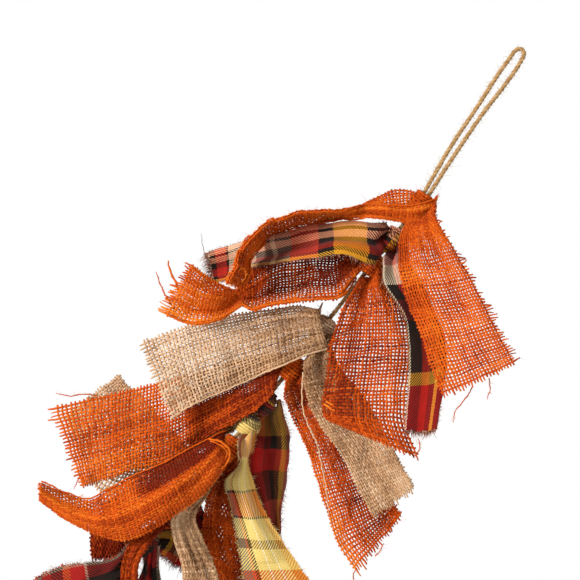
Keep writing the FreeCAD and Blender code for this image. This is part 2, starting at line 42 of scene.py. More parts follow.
# Rows of each tail: first edge point, second edge point, bulge to the front, in mm.
TIES = [
    {"node": "orange_burlap_tie_1", "centre": (-62.23, 0, -95.15), "along": (-0.61503, 0, -0.7885),
        "upper_tail": [((-66, 0.7, -89.8), (-68.3, -0.7, -92.8), 0),
            ((-75.7, -1, -86), (-76.6, -9, -99.7), 1.5),
            ((-85.6, -5, -94.7), (-85.8, -12, -107), 1.2),
            ((-93.5, -8, -96), (-93.5, -8, -105.7), 0.6),
            ((-101.6, -13, -97.1), (-101.3, -4, -104.4), 0),
            ((-114.4, -21, -97.9), (-114, 5, -106), 0),
            ((-129.5, -27, -99), (-129.3, 6, -106.6), 0),
            ((-144.5, -31, -102.7), (-144.6, 5, -110.9), 0),
            ((-157.1, -35, -108.8), (-155.5, -3, -113.8), 0),
            ((-165.4, -38, -117.2), (-162.1, -12, -121), 0),
            ((-169.9, -40, -128), (-167.2, -16, -130.1), 0),
            ((-171.6, -40, -138.1), (-168.1, -18, -138.6), 0),
            ((-174.4, -38, -147), (-169.3, -20, -147), 0)],
        "lower_tail": [((-59.8, 0.3, -102.3), (-54.7, -0.3, -95.7), 0),
            ((-72.1, -19.3, -112), (-53.5, -21.2, -107.2), 1),
            ((-76.4, -21.4, -127.1), (-44.3, -29.4, -121.8), 1.5),
            ((-73.6, -25.6, -147), (-34.1, -39.3, -140.5), 2),
            ((-65.6, -36, -170.3), (-24.1, -49.9, -161.3), 2),
            ((-57.7, -46.4, -193.4), (-15.3, -59.3, -179.5), 2),
            ((-49.9, -56.3, -214.4), (-8.2, -66.8, -193.5), 2)]},
    {"node": "plaid_flannel_tie_1", "centre": (-79.82, 0, -117.71), "along": (-0.61503, 0, -0.7885),
        "upper_tail": [((-82.5, 0.9, -110.5), (-85.9, -0.9, -118), 0),
            ((-89.2, -6, -107.5), (-88.9, -14, -131.9), 3),
            ((-99, -6, -106.9), (-99.3, -20, -128.9), 3),
            ((-111.1, -5, -107.8), (-110.2, -22, -125.9), 3),
            ((-123.3, -4, -109), (-123.4, -20, -128.3), 3),
            ((-135.4, -3, -111.4), (-135.5, -18, -130.7), 3),
            ((-148.2, -2, -115.3), (-147.6, -14, -132.8), 3),
            ((-159.8, 1, -118), (-160.3, -8, -134.9), 1),
            ((-172.1, 2, -120.1), (-173.2, -2, -137.9), 1),
            ((-182.4, 2, -122.6), (-181.2, 0, -142.7), 1),
            ((-191.6, 2, -125.6), (-187.9, -1, -143.4), 1)],
        "lower_tail": [((-78.7, -0, -123.8), (-72.1, 0, -118.5), 0),
            ((-85.4, -18.5, -133.7), (-69.1, -18.3, -131.3), 0.5),
            ((-84.1, -16.9, -144.6), (-63.2, -22.5, -142.2), 0.5),
            ((-78.2, -20.9, -154.3), (-58.6, -26.1, -151.8), 0.5),
            ((-72.9, -24.5, -163.3), (-55.1, -29.2, -160.8), 0.5),
            ((-70.1, -28.8, -178.2), (-49.4, -34.1, -174.6), 0.5),
            ((-69.7, -33.1, -196.1), (-47.8, -38.7, -192.4), 0.5),
            ((-71, -36.8, -214), (-50.4, -42.4, -211.4), 0.5),
            ((-72.4, -40.7, -232.3), (-54.1, -46, -231.4), 0.5)]},
    {"node": "orange_burlap_tie_2", "centre": (-91.23, 0, -132.33), "along": (-0.61503, 0, -0.7885),
        "upper_tail": [((-94.4, 0.6, -126.2), (-96.9, -0.6, -131.6), 0),
            ((-104.9, 2, -119.5), (-105, -6, -144.6), 0.5),
            ((-114.6, 4, -120.1), (-111.2, -11, -153.1), 0),
            ((-126.2, 4, -120.1), (-124.6, -14, -154.9), 0),
            ((-140.3, 3, -122.6), (-139.7, -15.5, -156.7), 0),
            ((-153.7, 1, -126.9), (-153.6, -17, -158.5), 0),
            ((-163.5, -2, -134.8), (-164.5, -18, -159.7), 0),
            ((-170.1, -7, -144.6), (-171.1, -18, -156.7), 0),
            ((-174.9, -10, -148.8), (-178.9, -21, -162.1), 0),
            ((-183.8, -16, -145.2), (-187.8, -25, -166.9), 1.5),
            ((-193.4, -20, -139.2), (-201.6, -27, -168.1), 2.5),
            ((-201.2, -22, -133.2), (-215.3, -29, -162.6), 2)],
        "lower_tail": [((-90.1, -0.2, -138.4), (-83.5, 0.2, -133.2), 0),
            ((-100.3, -13.4, -144.6), (-82.2, -12.5, -142.8), 1),
            ((-107, -14.1, -154.9), (-76.2, -15.3, -153.7), 1),
            ((-112.5, -15, -167.6), (-72.1, -18, -165.1), 1.5),
            ((-116.7, -11.1, -181), (-69.2, -20.8, -179.6), 1.5),
            ((-119.7, -13.7, -199.1), (-69.9, -23.3, -196.4), 1.5),
            ((-122.2, -15.9, -215.9), (-71.8, -25.9, -215.6), 1.5),
            ((-121, -17.4, -224.3), (-71.3, -28.5, -231.1), 1.5),
            ((-117.4, -18.6, -227.3), (-64.9, -32.5, -248.3), 1.5)]},
    {"node": "natural_burlap_tie_1", "centre": (-121.65, 0, -171.34), "along": (-0.61503, 0, -0.7885),
        "upper_tail": [((-124.4, -0.2, -164), (-127.7, 0.2, -171.7), 0),
            ((-124.5, -9.3, -159.8), (-118.4, -7.6, -182.9), 2),
            ((-135.5, -9.3, -157.9), (-131.8, -13.2, -187.6), 2),
            ((-152.4, -11.2, -159.7), (-145.8, -13.4, -193.6), 2),
            ((-171.2, -13.1, -162.8), (-162.8, -8.6, -201), 2),
            ((-189.3, -15, -166.4), (-179.1, -9.9, -208.3), 2),
            ((-207.4, -16.7, -171.2), (-196.1, -11.2, -215.5), 2),
            ((-230.3, -18.6, -180.2), (-213, -12.2, -225.8), 2)],
        "lower_tail": [((-120.4, -0.7, -177.4), (-114.1, 0.7, -172.1), 0),
            ((-133, -11.9, -191.9), (-116, -6.3, -183.5), 1),
            ((-133, -6.1, -202.9), (-111.1, -7.1, -195.6), 1),
            ((-130.6, -6.8, -213.9), (-100.2, -8.3, -208.9), 1),
            ((-122.1, -8.1, -232), (-90.6, -9.5, -224.7), 1),
            ((-110, -9.5, -248.3), (-80.3, -10.9, -242.8), 1),
            ((-101.5, -10.7, -265.9), (-72.4, -12, -257.3), 1),
            ((-91.8, -12, -284), (-67, -12.7, -267.6), 1)]},
    {"node": "orange_burlap_tie_3", "centre": (-140.67, 0, -195.73), "along": (-0.61503, 0, -0.7885),
        "upper_tail": [((-143.5, 1.3, -188.6), (-146.7, -1.3, -196), 0),
            ((-154.9, 0.9, -187.3), (-152.4, -10.5, -211.3), 0),
            ((-165.3, 1.2, -189.1), (-160.3, -10.5, -219.8), 0),
            ((-176.9, 1.6, -192.2), (-171.9, -8.9, -227.1), 0.3),
            ((-192.8, 2.1, -197.1), (-189.1, 0.7, -236.7), 0.8),
            ((-214.2, 2.8, -203.2), (-214.2, 1.1, -252.6), 2),
            ((-238.7, 3.6, -209.4), (-238.6, 1.9, -258.1), 2),
            ((-260.1, 4.2, -214.3), (-255.7, 2.3, -264.3), 2),
            ((-285.3, 5, -219.8), (-268.6, 2.7, -268), 2)],
        "lower_tail": [((-139.4, -1.3, -201.7), (-133.1, 1.3, -196.7), 0),
            ((-144.6, -9.2, -206.5), (-124.4, 2.4, -199.5), 0.5),
            ((-142.7, 2.1, -220.3), (-114.6, 4.9, -213.1), 0.5),
            ((-133.6, 5.1, -239.4), (-104.8, 7.9, -231.6), 1.5),
            ((-125.6, 8.2, -261), (-93.6, 11.2, -251.3), 1.5),
            ((-118.8, 11.2, -283.9), (-83.7, 14.1, -269.3), 1.5),
            ((-110.2, 14.6, -307.5), (-76.9, 16.2, -282.4), 1.5),
            ((-101.5, 17, -320.6), (-73.8, 17, -286.2), 1.5)]},
    {"node": "plaid_flannel_tie_2", "centre": (-156.84, 0, -216.46), "along": (-0.61503, 0, -0.7885),
        "upper_tail": [((-159.7, -1.4, -209.4), (-162.8, 1.4, -216.7), 0),
            ((-169.7, 6, -213.1), (-167.3, 12, -224.4), 0.5),
            ((-180.7, 8, -213.2), (-177.2, 13, -230.6), 0.5),
            ((-193, 10, -216.9), (-189.4, 13, -237.9), 0.5),
            ((-204.2, 12, -221.9), (-200.5, 13, -240.4), 0.5)],
        "lower_tail": [((-155.7, 0.7, -222.5), (-149.2, -0.7, -217.3), 0),
            ((-163.6, 11.2, -226.2), (-145.8, 6.8, -224.2), 1.5),
            ((-166.1, 11.1, -237.8), (-142.1, 10.6, -236.6), 1.5),
            ((-167.2, 6.3, -249.2), (-142.7, 13.3, -249.6), 1.5),
            ((-166.7, 9.4, -261.7), (-144, 15.4, -260.8), 1.5),
            ((-163.6, 12.7, -272.3), (-145.2, 17.4, -271.4), 1.5),
            ((-158.8, 17, -284.9), (-147.1, 19.6, -282.7), 1.5),
            ((-155.1, 20.9, -297.6), (-147.7, 22.6, -296.5), 1.5)]},
    {"node": "yellow_plaid_tie", "centre": (-167.5, 0, -230.12), "along": (-0.61503, 0, -0.7885),
        "upper_tail": [((-170.3, -0.8, -222.9), (-173.5, 0.8, -230.5), 0),
            ((-177.6, 6, -226.6), (-175.8, 8, -234), 0.3),
            ((-188.7, 6.5, -229), (-188.7, 8, -240.1), 0.3),
            ((-202.8, 7.5, -235.2), (-201.6, 8.5, -246.3), 0.3)],
        "lower_tail": [((-166.2, -1.2, -236), (-159.9, 1.2, -231.1), 0),
            ((-173.1, -10.8, -239.2), (-162.2, -5.6, -237), 1),
            ((-173.7, -9, -246.6), (-163.5, -0.5, -245.8), 1),
            ((-172, -0.7, -253.7), (-167.1, -0.3, -252.5), 1),
            ((-180.5, -0.6, -264.7), (-164.1, 1.3, -264.2), 1),
            ((-177.5, 1.3, -278.9), (-159.9, 3.2, -277.8), 1),
            ((-174.5, 3.2, -293.7), (-150.1, 6.2, -295.8), 1),
            ((-172.1, 5, -308.5), (-141.5, 8.7, -309.4), 1),
            ((-169.7, 6.9, -324.6), (-131.7, 11.3, -323.8), 1),
            ((-166, 8.9, -339.5), (-123.1, 13.6, -336.3), 1)]},
    {"node": "orange_burlap_tie_4", "centre": (-178.51, 0, -244), "along": (-0.6613, 0, -0.75013),
        "upper_tail": [((-181.4, 0.3, -236.3), (-184, -0.3, -244.3), 0),
            ((-191.2, -13, -239.7), (-179.7, -14, -252.3), 3),
            ((-203.2, -15, -245.6), (-192.2, -18, -270.8), 5),
            ((-218.3, -15, -254.1), (-207.8, -22, -282), 7),
            ((-237.2, -14, -262), (-227.7, -22, -294.6), 7),
            ((-251.7, -13, -270), (-243.5, -19, -299.7), 6),
            ((-263.9, -12, -276.1), (-260.6, -17, -295.1), 4),
            ((-278.3, -14, -271.7), (-276.1, -19, -287.7), 2),
            ((-292.6, -17, -264.8), (-291, -21, -276.6), 1)],
        "lower_tail": [((-177.7, 1.3, -249.9), (-170.9, -1.3, -245.6), 0),
            ((-187, 13.2, -261.3), (-174, 7.7, -263.4), 0.5),
            ((-193.5, 6, -276.1), (-173.4, 11.1, -282), 0.5),
            ((-194.9, 9.1, -295.4), (-171, 14.5, -298.9), 0.5),
            ((-192.5, 12.4, -311.6), (-169.2, 17.7, -315.8), 0.5),
            ((-186.5, 16.5, -328), (-167.4, 20.9, -332.1), 0.5),
            ((-183.5, 19.8, -343.1), (-163.8, 24.1, -346), 0.5)]},
    {"node": "natural_burlap_tie_2", "centre": (-191.42, 0, -258.64), "along": (-0.6613, 0, -0.75013),
        "upper_tail": [((-193.6, -0.2, -251.3), (-197.6, 0.2, -258.6), 0),
            ((-203.1, 17.8, -246.8), (-205.6, 19.2, -264.1), 1.5),
            ((-217, 25.8, -232.4), (-232.8, 20.1, -271.6), 1.5),
            ((-230.4, 33.4, -218.4), (-260.5, 28.3, -271.5), 1.5),
            ((-240.6, 38.8, -209.3), (-272.3, 37.8, -249.1), 1.5),
            ((-249, 43.3, -201.3), (-281.6, 45.8, -228.9), 1.5)],
        "lower_tail": [((-190.6, -1, -264.6), (-183.8, 1, -260.1), 0),
            ((-197.4, -9, -264.8), (-188.3, -6, -265), 0.5),
            ((-204.5, -12, -273.1), (-193.7, -10, -272), 1),
            ((-216.6, -13.5, -285.1), (-201.6, -10, -284.7), 1),
            ((-216.2, -9, -300), (-197.5, -4, -300.4), 1),
            ((-212.1, -5, -313.7), (-192.7, -2, -312.7), 1.5),
            ((-211, -2, -326.2), (-188.5, 0, -325.7), 1.5),
            ((-208.6, 0, -343.4), (-183.1, 3, -341.3), 1.5)]},
    {"node": "plaid_flannel_tie_3", "centre": (-203.52, 0, -272.37), "along": (-0.6613, 0, -0.75013),
        "upper_tail": [((-206.2, -1.8, -265.2), (-209.3, 1.8, -272.1), 0),
            ((-215.2, 10.9, -267.3), (-211.8, 18, -277.6), 1),
            ((-227.5, 12.4, -267.4), (-222.8, 16.9, -286.2), 1),
            ((-242.3, 13.6, -272.4), (-237.3, 10.8, -293.1), 1),
            ((-255.9, 14.5, -279.2), (-252.1, 12.2, -296.2), 1)],
        "lower_tail": [((-202.7, 0.9, -278.4), (-196, -0.9, -273.7), 0),
            ((-211.8, 19.1, -285.1), (-195.6, 13.4, -282.2), 0.5),
            ((-220.4, 19.3, -295.6), (-189.6, 18.3, -292.4), 0.5),
            ((-225.4, 19.5, -303), (-189.1, 22.4, -306.3), 0.5),
            ((-227.8, 19.5, -307.3), (-202.1, 23.1, -323.1), 0.5)]},
    {"node": "orange_burlap_tie_5", "centre": (-214.82, 0, -285.18), "along": (-0.6613, 0, -0.75013),
        "upper_tail": [((-217.3, -1.4, -277.9), (-220.8, 1.4, -285), 0),
            ((-229.5, 3.1, -277.8), (-227.4, 9.2, -289.2), 1),
            ((-246.7, 4, -277.8), (-232.1, 6.4, -291.5), 1),
            ((-262, 4.1, -292.5), (-237.1, 7.4, -297.7), 1),
            ((-263.1, 3.3, -310.8), (-241, 11.4, -311.5), 1)],
        "lower_tail": [((-214.1, -0.1, -291.3), (-207.2, 0.1, -286.5), 0),
            ((-231.3, -9.5, -293.9), (-219.2, -9, -293.9), 1),
            ((-240.2, -13.5, -305), (-228.7, -13, -305.1), 1.5),
            ((-243.2, -14.5, -315.2), (-233.5, -14, -315.3), 2),
            ((-243.8, -14, -328.6), (-233, -13, -328.7), 2),
            ((-243.3, -12, -343.3), (-230.6, -11, -343.4), 2)]},
    {"node": "plaid_flannel_tie_4", "centre": (-230.11, 0, -302.04), "along": (-0.67457, 0, -0.73821),
        "upper_tail": [((-232.5, 0, -294.5), (-236, 0, -302.1), 0),
            ((-243.5, -9.5, -307.8), (-239.8, -9.5, -315.7), 0.5),
            ((-251.7, -13, -312.3), (-248.1, -13, -332.3), 3),
            ((-265, -14.5, -313.4), (-259.5, -14, -343.1), 5),
            ((-278.3, -14.5, -315.8), (-273.5, -14, -349.2), 5),
            ((-291.7, -13, -320.8), (-288.1, -13, -354.1), 4)],
        "lower_tail": [((-229.8, 0.7, -307.4), (-222.2, -0.7, -304.3), 0),
            ((-230.9, 6.2, -317.2), (-221, 4.4, -325.6), 1),
            ((-235.7, 3.7, -331.6), (-214.9, 5.5, -335.5), 1),
            ((-235.7, 4.9, -348.9), (-210.1, 6.8, -347.8), 1),
            ((-229.7, 6.7, -367.4), (-202.8, 8.4, -362.7), 1)]},
    {"node": "orange_burlap_tie_6", "centre": (-245.75, 0, -319.15), "along": (-0.67457, 0, -0.73821),
        "upper_tail": [((-249, 0.8, -313.5), (-250.8, -0.8, -317.2), 0),
            ((-261, -1, -315.3), (-255.6, -10, -331.4), 1),
            ((-269.5, -1.2, -315.3), (-264.1, -10, -338.7), 1),
            ((-281.7, -1.5, -317.1), (-275, -10, -349.6), 1),
            ((-295.7, -1.7, -323.7), (-290.8, -9.5, -360.6), 1),
            ((-309.7, -1.8, -333.5), (-305.5, -8.3, -372.9), 1)],
        "lower_tail": [((-245, 0.1, -325.4), (-238.2, -0.1, -320.5), 0),
            ((-245, -3.2, -333.3), (-232.8, -3.6, -329.6), 0.3),
            ((-243.8, -3.7, -347.9), (-221.9, -4.2, -341.8), 0.3),
            ((-238.9, -4.3, -366.1), (-210.9, -4.8, -358.7), 0.5),
            ((-231.6, -5, -385.5), (-202.3, -5.5, -378.1), 0.5)]},
    {"node": "natural_burlap_tie_3", "centre": (-275.72, 0, -350.75), "along": (-0.69048, 0, -0.72336),
        "upper_tail": [((-278.8, 0.2, -344.8), (-281.8, -0.2, -348), 0),
            ((-288.1, 1.7, -343.6), (-284.3, 0.4, -354.5), 1),
            ((-301.6, 3.2, -340.1), (-299, 1.2, -360.7), 1),
            ((-317.7, 4.7, -339), (-315, 2.2, -365.7), 1),
            ((-334.9, 6, -341.6), (-332.2, 3.4, -369.5), 1)],
        "lower_tail": [((-274.1, -0.1, -358.1), (-268.3, 0.1, -352.1), 0),
            ((-270.9, 0.9, -364.3), (-257.5, 1.5, -361.9), 1.5),
            ((-266.1, 2, -381.5), (-241.7, 2.9, -375.5), 1.5),
            ((-258.8, 3.2, -400), (-229.6, 4.3, -392.8), 1.5),
            ((-252.8, 4.4, -418.5), (-221.1, 5.6, -410.1), 1.5)]},
]


BODY_OF = {
    "orange_burlap_tie_1": "ties_1_to_3", "plaid_flannel_tie_1": "ties_1_to_3", "orange_burlap_tie_2": "ties_1_to_3",
    "natural_burlap_tie_1": "tie_4", "orange_burlap_tie_3": "tie_5",
    "plaid_flannel_tie_2": "ties_6_to_9", "yellow_plaid_tie": "ties_6_to_9", "orange_burlap_tie_4": "ties_6_to_9",
    "natural_burlap_tie_2": "ties_6_to_9",
    "plaid_flannel_tie_3": "ties_10_to_14", "orange_burlap_tie_5": "ties_10_to_14", "plaid_flannel_tie_4": "ties_10_to_14",
    "orange_burlap_tie_6": "ties_10_to_14", "natural_burlap_tie_3": "ties_10_to_14",
}

# ---------------------------------------------------------------- mesh tools


def unit(v):
    return v / np.maximum(np.linalg.norm(v, axis=-1, keepdims=True), 1e-9)


class Builder:
    """Collects tubes and sheets (millimetres) and makes one mesh object."""

    def __init__(self):
        self.v, self.f, self.tone, self.uv, self.n = [], [], [], [], 0

    def add(self, verts, faces, tone, uv=None):
        verts = verts.reshape(-1, 3)
        self.v.append(verts)
        for f in faces:
            self.f.append(f + self.n)
        self.tone.append(np.broadcast_to(tone, (len(verts),)).astype(np.float32))
        self.uv.append(np.zeros((len(verts), 2), np.float32) if uv is None else uv.reshape(-1, 2).astype(np.float32))
        self.n += len(verts)

    def tubes(self, P, R, sides=5, N=None, flat=1.0, tone=0.5, caps=True):
        """P (m, n, 3) polylines, R (m, n) radii; flat widens across N and thins along it."""
        P = np.asarray(P, float)
        m, n, _ = P.shape
        R = np.broadcast_to(np.asarray(R, float), (m, n))
        T = unit(np.gradient(P, axis=1))
        if N is None:
            ref = np.where(np.abs(T[:, :1, 1:2]) > 0.8, np.array([1.0, 0, 0]), np.array([0, 1.0, 0]))
            N = np.broadcast_to(ref, P.shape)
        B = unit(np.cross(T, N))
        N2 = np.cross(B, T)
        a = np.arange(sides) * 2 * math.pi / sides
        ring = (N2[:, :, None, :] * (np.cos(a) / flat)[None, None, :, None]
                + B[:, :, None, :] * (np.sin(a) * flat)[None, None, :, None]) * R[:, :, None, None]
        V = P[:, :, None, :] + ring
        idx = np.arange(m * n * sides).reshape(m, n, sides)
        k2 = np.roll(idx, -1, axis=2)
        quads = np.stack([idx[:, :-1], k2[:, :-1], k2[:, 1:], idx[:, 1:]], axis=-1).reshape(-1, 4)
        faces = [quads]
        if caps:
            faces.append(idx[:, 0, ::-1].reshape(-1, sides))
            faces.append(idx[:, -1].reshape(-1, sides))
        t = np.broadcast_to(np.asarray(tone, float), (m, n)) if np.ndim(tone) else np.full((m, n), tone)
        self.add(V, faces, np.repeat(t.reshape(-1), sides))

    def sheet(self, G, thick, uv, tone=0.5):
        """G (a, b, 3) grid made into a closed thin sheet."""
        a, b, _ = G.shape
        du = np.gradient(G, axis=0)
        dv = np.gradient(G, axis=1)
        N = unit(np.cross(du, dv))
        V = np.stack([G - N * thick / 2, G + N * thick / 2])
        idx = np.arange(2 * a * b).reshape(2, a, b)
        q0 = np.stack([idx[0, :-1, :-1], idx[0, :-1, 1:], idx[0, 1:, 1:], idx[0, 1:, :-1]], -1).reshape(-1, 4)
        q1 = np.stack([idx[1, :-1, :-1], idx[1, 1:, :-1], idx[1, 1:, 1:], idx[1, :-1, 1:]], -1).reshape(-1, 4)
        e = []
        for s0, s1 in ((idx[:, 0, :], 0), (idx[:, -1, :], 1), (idx[:, :, 0], 1), (idx[:, :, -1], 0)):
            q = np.stack([s0[0, :-1], s0[1, :-1], s0[1, 1:], s0[0, 1:]], -1)
            e.append(q if s1 else q[:, ::-1])
        UV = np.stack([uv, uv])
        self.add(V, [q0, q1] + e, tone, UV)

    def object(self, name, mats, smooth=True, mat_index=None):
        V = np.concatenate(self.v) * MM
        me = bpy.data.meshes.new(name)
        loops = np.concatenate([f.reshape(-1) for f in self.f]).astype(np.int32)
        tot = np.concatenate([np.full(len(f), f.shape[1], np.int32) for f in self.f])
        start = np.concatenate([[0], np.cumsum(tot)[:-1]]).astype(np.int32)
        me.vertices.add(len(V))
        me.vertices.foreach_set("co", V.astype(np.float32).reshape(-1))
        me.loops.add(len(loops))
        me.loops.foreach_set("vertex_index", loops)
        me.polygons.add(len(tot))
        me.polygons.foreach_set("loop_start", start)
        me.update(calc_edges=True)
        me.polygons.foreach_set("use_smooth", np.full(len(tot), smooth, bool))
        # the tone attribute holds random yarn colour variation plus painted shade and painted highlight offsets
        at = me.attributes.new("tone", "FLOAT", "POINT")
        at.data.foreach_set("value", np.concatenate(self.tone))
        uvl = me.uv_layers.new(name="cloth")
        uvs = np.concatenate(self.uv)[loops]
        uvl.data.foreach_set("uv", uvs.reshape(-1))
        for m in (mats if isinstance(mats, (list, tuple)) else [mats]):
            me.materials.append(m)
        me.validate(verbose=False)
        me.update()
        ob = bpy.data.objects.new(name, me)
        bpy.context.scene.collection.objects.link(ob)
        return ob


# ------------------------------------------------------------- noise helpers
def wave_noise(rng, count, x, scale, amp):
    """count smooth noise rows sampled at x (n,)."""
    out = np.zeros((count, len(x)))
    for o in range(3):
        f = (1.0 + 0.9 * o) / scale
        ph = rng.uniform(0, 2 * math.pi, (count, 1))
        ff = f * rng.uniform(0.7, 1.3, (count, 1))
        out += np.sin(2 * math.pi * ff * x[None, :] + ph) / (1 + o)
    return out * amp / 1.8


class Field:
    """Smooth two-way noise on the cloth."""

    def __init__(self, rng, scale, n=7):
        self.k = rng.normal(0, 1, (n, 2)) / scale
        self.p = rng.uniform(0, 2 * math.pi, n)

    def __call__(self, s, t):
        s, t = np.asarray(s, float), np.asarray(t, float)
        return sum(np.sin(2 * math.pi * (k[0] * s + k[1] * t) + p) for k, p in zip(self.k, self.p)) / math.sqrt(len(self.p) / 2.0) * 0.5


# -------------------------------------------------------------- cloth shapes
class Tail:
    """Smooth surface through a tail's rows. s in mm from the knot, t from -1 to 1 across."""

    def __init__(self, rows, rng, width=50.0, folds=2.5, knot_width=11.0, deep=2.2, wrinkle=0.9, prof=None, warp=1.0):
        A = np.array([r[0] for r in rows], float)
        B = np.array([r[1] for r in rows], float)
        self.b = np.array([r[2] for r in rows], float)
        self.M = (A + B) / 2
        self.H = (B - A) / 2
        h0 = np.linalg.norm(self.H[0])
        self.H[0] *= (knot_width / 2) / max(h0, 1e-6)
        d = np.linalg.norm(np.diff(self.M, axis=0), axis=1)
        self.s = np.concatenate([[0], np.cumsum(d)])
        self.L = float(self.s[-1])
        self.width, self.folds, self.deep, self.wr, self.warp = width, folds, deep, wrinkle, warp
        self.prof = prof
        self.ph = rng.uniform(0, 2 * math.pi, 4)
        self.field = Field(rng, 38.0)
        self.fine = Field(rng, 15.0)
        self.rng = rng

    def _interp(self, Y, s):
        x = self.s
        s = np.asarray(s, float)
        sc = np.clip(s, 0, self.L)
        i = np.clip(np.searchsorted(x, sc, side="right") - 1, 0, len(x) - 2)
        h = (x[i + 1] - x[i])
        u = (sc - x[i]) / h
        Y = Y if Y.ndim == 2 else Y[:, None]
        D = np.zeros_like(Y)
        dx = np.diff(x)[:, None]
        sl = np.diff(Y, axis=0) / dx
        D[1:-1] = (sl[:-1] * dx[1:] + sl[1:] * dx[:-1]) / (dx[1:] + dx[:-1])
        D[0], D[-1] = sl[0], sl[-1]
        h = h[..., None]
        u = u[..., None]
        y = ((2 * u ** 3 - 3 * u ** 2 + 1) * Y[i] + (u ** 3 - 2 * u ** 2 + u) * h * D[i]
             + (-2 * u ** 3 + 3 * u ** 2) * Y[i + 1] + (u ** 3 - u ** 2) * h * D[i + 1])
        over = (s - sc)[..., None]
        y = y + over * np.where(over > 0, D[-1], D[0])
        return y

    def base(self, s, t):
        M = self._interp(self.M, s)
        H = self._interp(self.H, s)
        b = self._interp(self.b, s)[..., 0]
        tt = np.asarray(t, float)[..., None]
        P = M + H * tt
        P[..., 1] -= b * (1 - np.asarray(t) ** 2)
        if self.prof:
            q = np.interp(np.asarray(t, float), [a for a, _ in self.prof], [c for _, c in self.prof])
            P[..., 1] -= q * np.clip(np.asarray(s, float) / 18.0, 0, 1)
        return P, H

    def pos(self, s, t):
        s = np.asarray(s, float)
        t = np.asarray(t, float)
        s, t = np.broadcast_arrays(s, t)
        P, H = self.base(s, t)
        e = 0.5
        P2, _ = self.base(s + e, t)
        T = unit(P2 - P)
        Nn = unit(np.cross(T, H))
        w = 2 * np.linalg.norm(H, axis=-1)
        g = np.clip(self.width / np.maximum(w, 1.0), 1.0, 4.0)
        fade = np.exp(-np.maximum(s, 0) / 42.0)
        nf = self.folds * (0.55 + 0.75 * fade)
        k = 2 * math.pi * nf / np.maximum(w, 4.0)
        amp = np.minimum(2.0 / k * np.sqrt(g - 1.0), self.deep) * (0.35 + 0.65 * np.minimum(1, np.abs(w) / 16.0))
        phase = self.ph[0] + 0.9 * np.sin(s / 31.0 + self.ph[1])
        z = amp * np.sin(math.pi * nf * t + phase)
        away = np.clip(s / 22.0, 0, 1)
        z = z + away * self.wr * (self.field(s, t * self.width / 2) * 1.5 + 0.45 * self.fine(s, t * self.width / 2))
        return P + Nn * z[..., None]

    def normal(self, s, t):
        e = 0.4
        du = self.pos(s + e, t) - self.pos(s - e, t)
        dv = self.pos(s, t + 0.02) - self.pos(s, t - 0.02)
        return unit(np.cross(du, dv))


class Wrap:
    """Band of cloth gathered round the twine: s goes round, t along the twine."""

    def __init__(self, centre, along, rng, half=8.0, radius=5.6, turns=1.25, start=0.0, width=50.0, drift=2.5):
        self.c = np.array(centre, float)
        self.a = unit(np.array(along, float))
        self.x = np.array([0, 1.0, 0])
        self.y = np.cross(self.a, self.x)
        self.half, self.r, self.turns, self.start, self.width, self.drift = half, radius, turns, start, width, drift
        self.L = 2 * math.pi * radius * turns
        self.ph = rng.uniform(0, 6.28, 4)
        self.field = Field(rng, 9.0)

    def pos(self, s, t):
        s, t = np.broadcast_arrays(np.asarray(s, float), np.asarray(t, float))
        th = self.start + s / self.r
        u = s / self.L
        r = self.r + 1.1 * u - 0.9 * t ** 2 + 0.75 * np.sin(2 * math.pi * 3.2 * t + self.ph[0] + 0.5 * np.sin(th + self.ph[1])) * (1 - 0.4 * t ** 2)
        r = r + 0.35 * self.field(s, t * 8)
        h = self.half * t * (0.85 + 0.12 * np.sin(th * 1.0 + self.ph[2])) + self.drift * (u - 0.5)
        return (self.c + self.a * h[..., None] + (self.x * np.cos(th)[..., None] + self.y * np.sin(th)[..., None]) * r[..., None])

    def normal(self, s, t):
        e = 0.3
        du = self.pos(s + e, t) - self.pos(s - e, t)
        dv = self.pos(s, t + 0.02) - self.pos(s, t - 0.02)
        return unit(np.cross(du, dv))
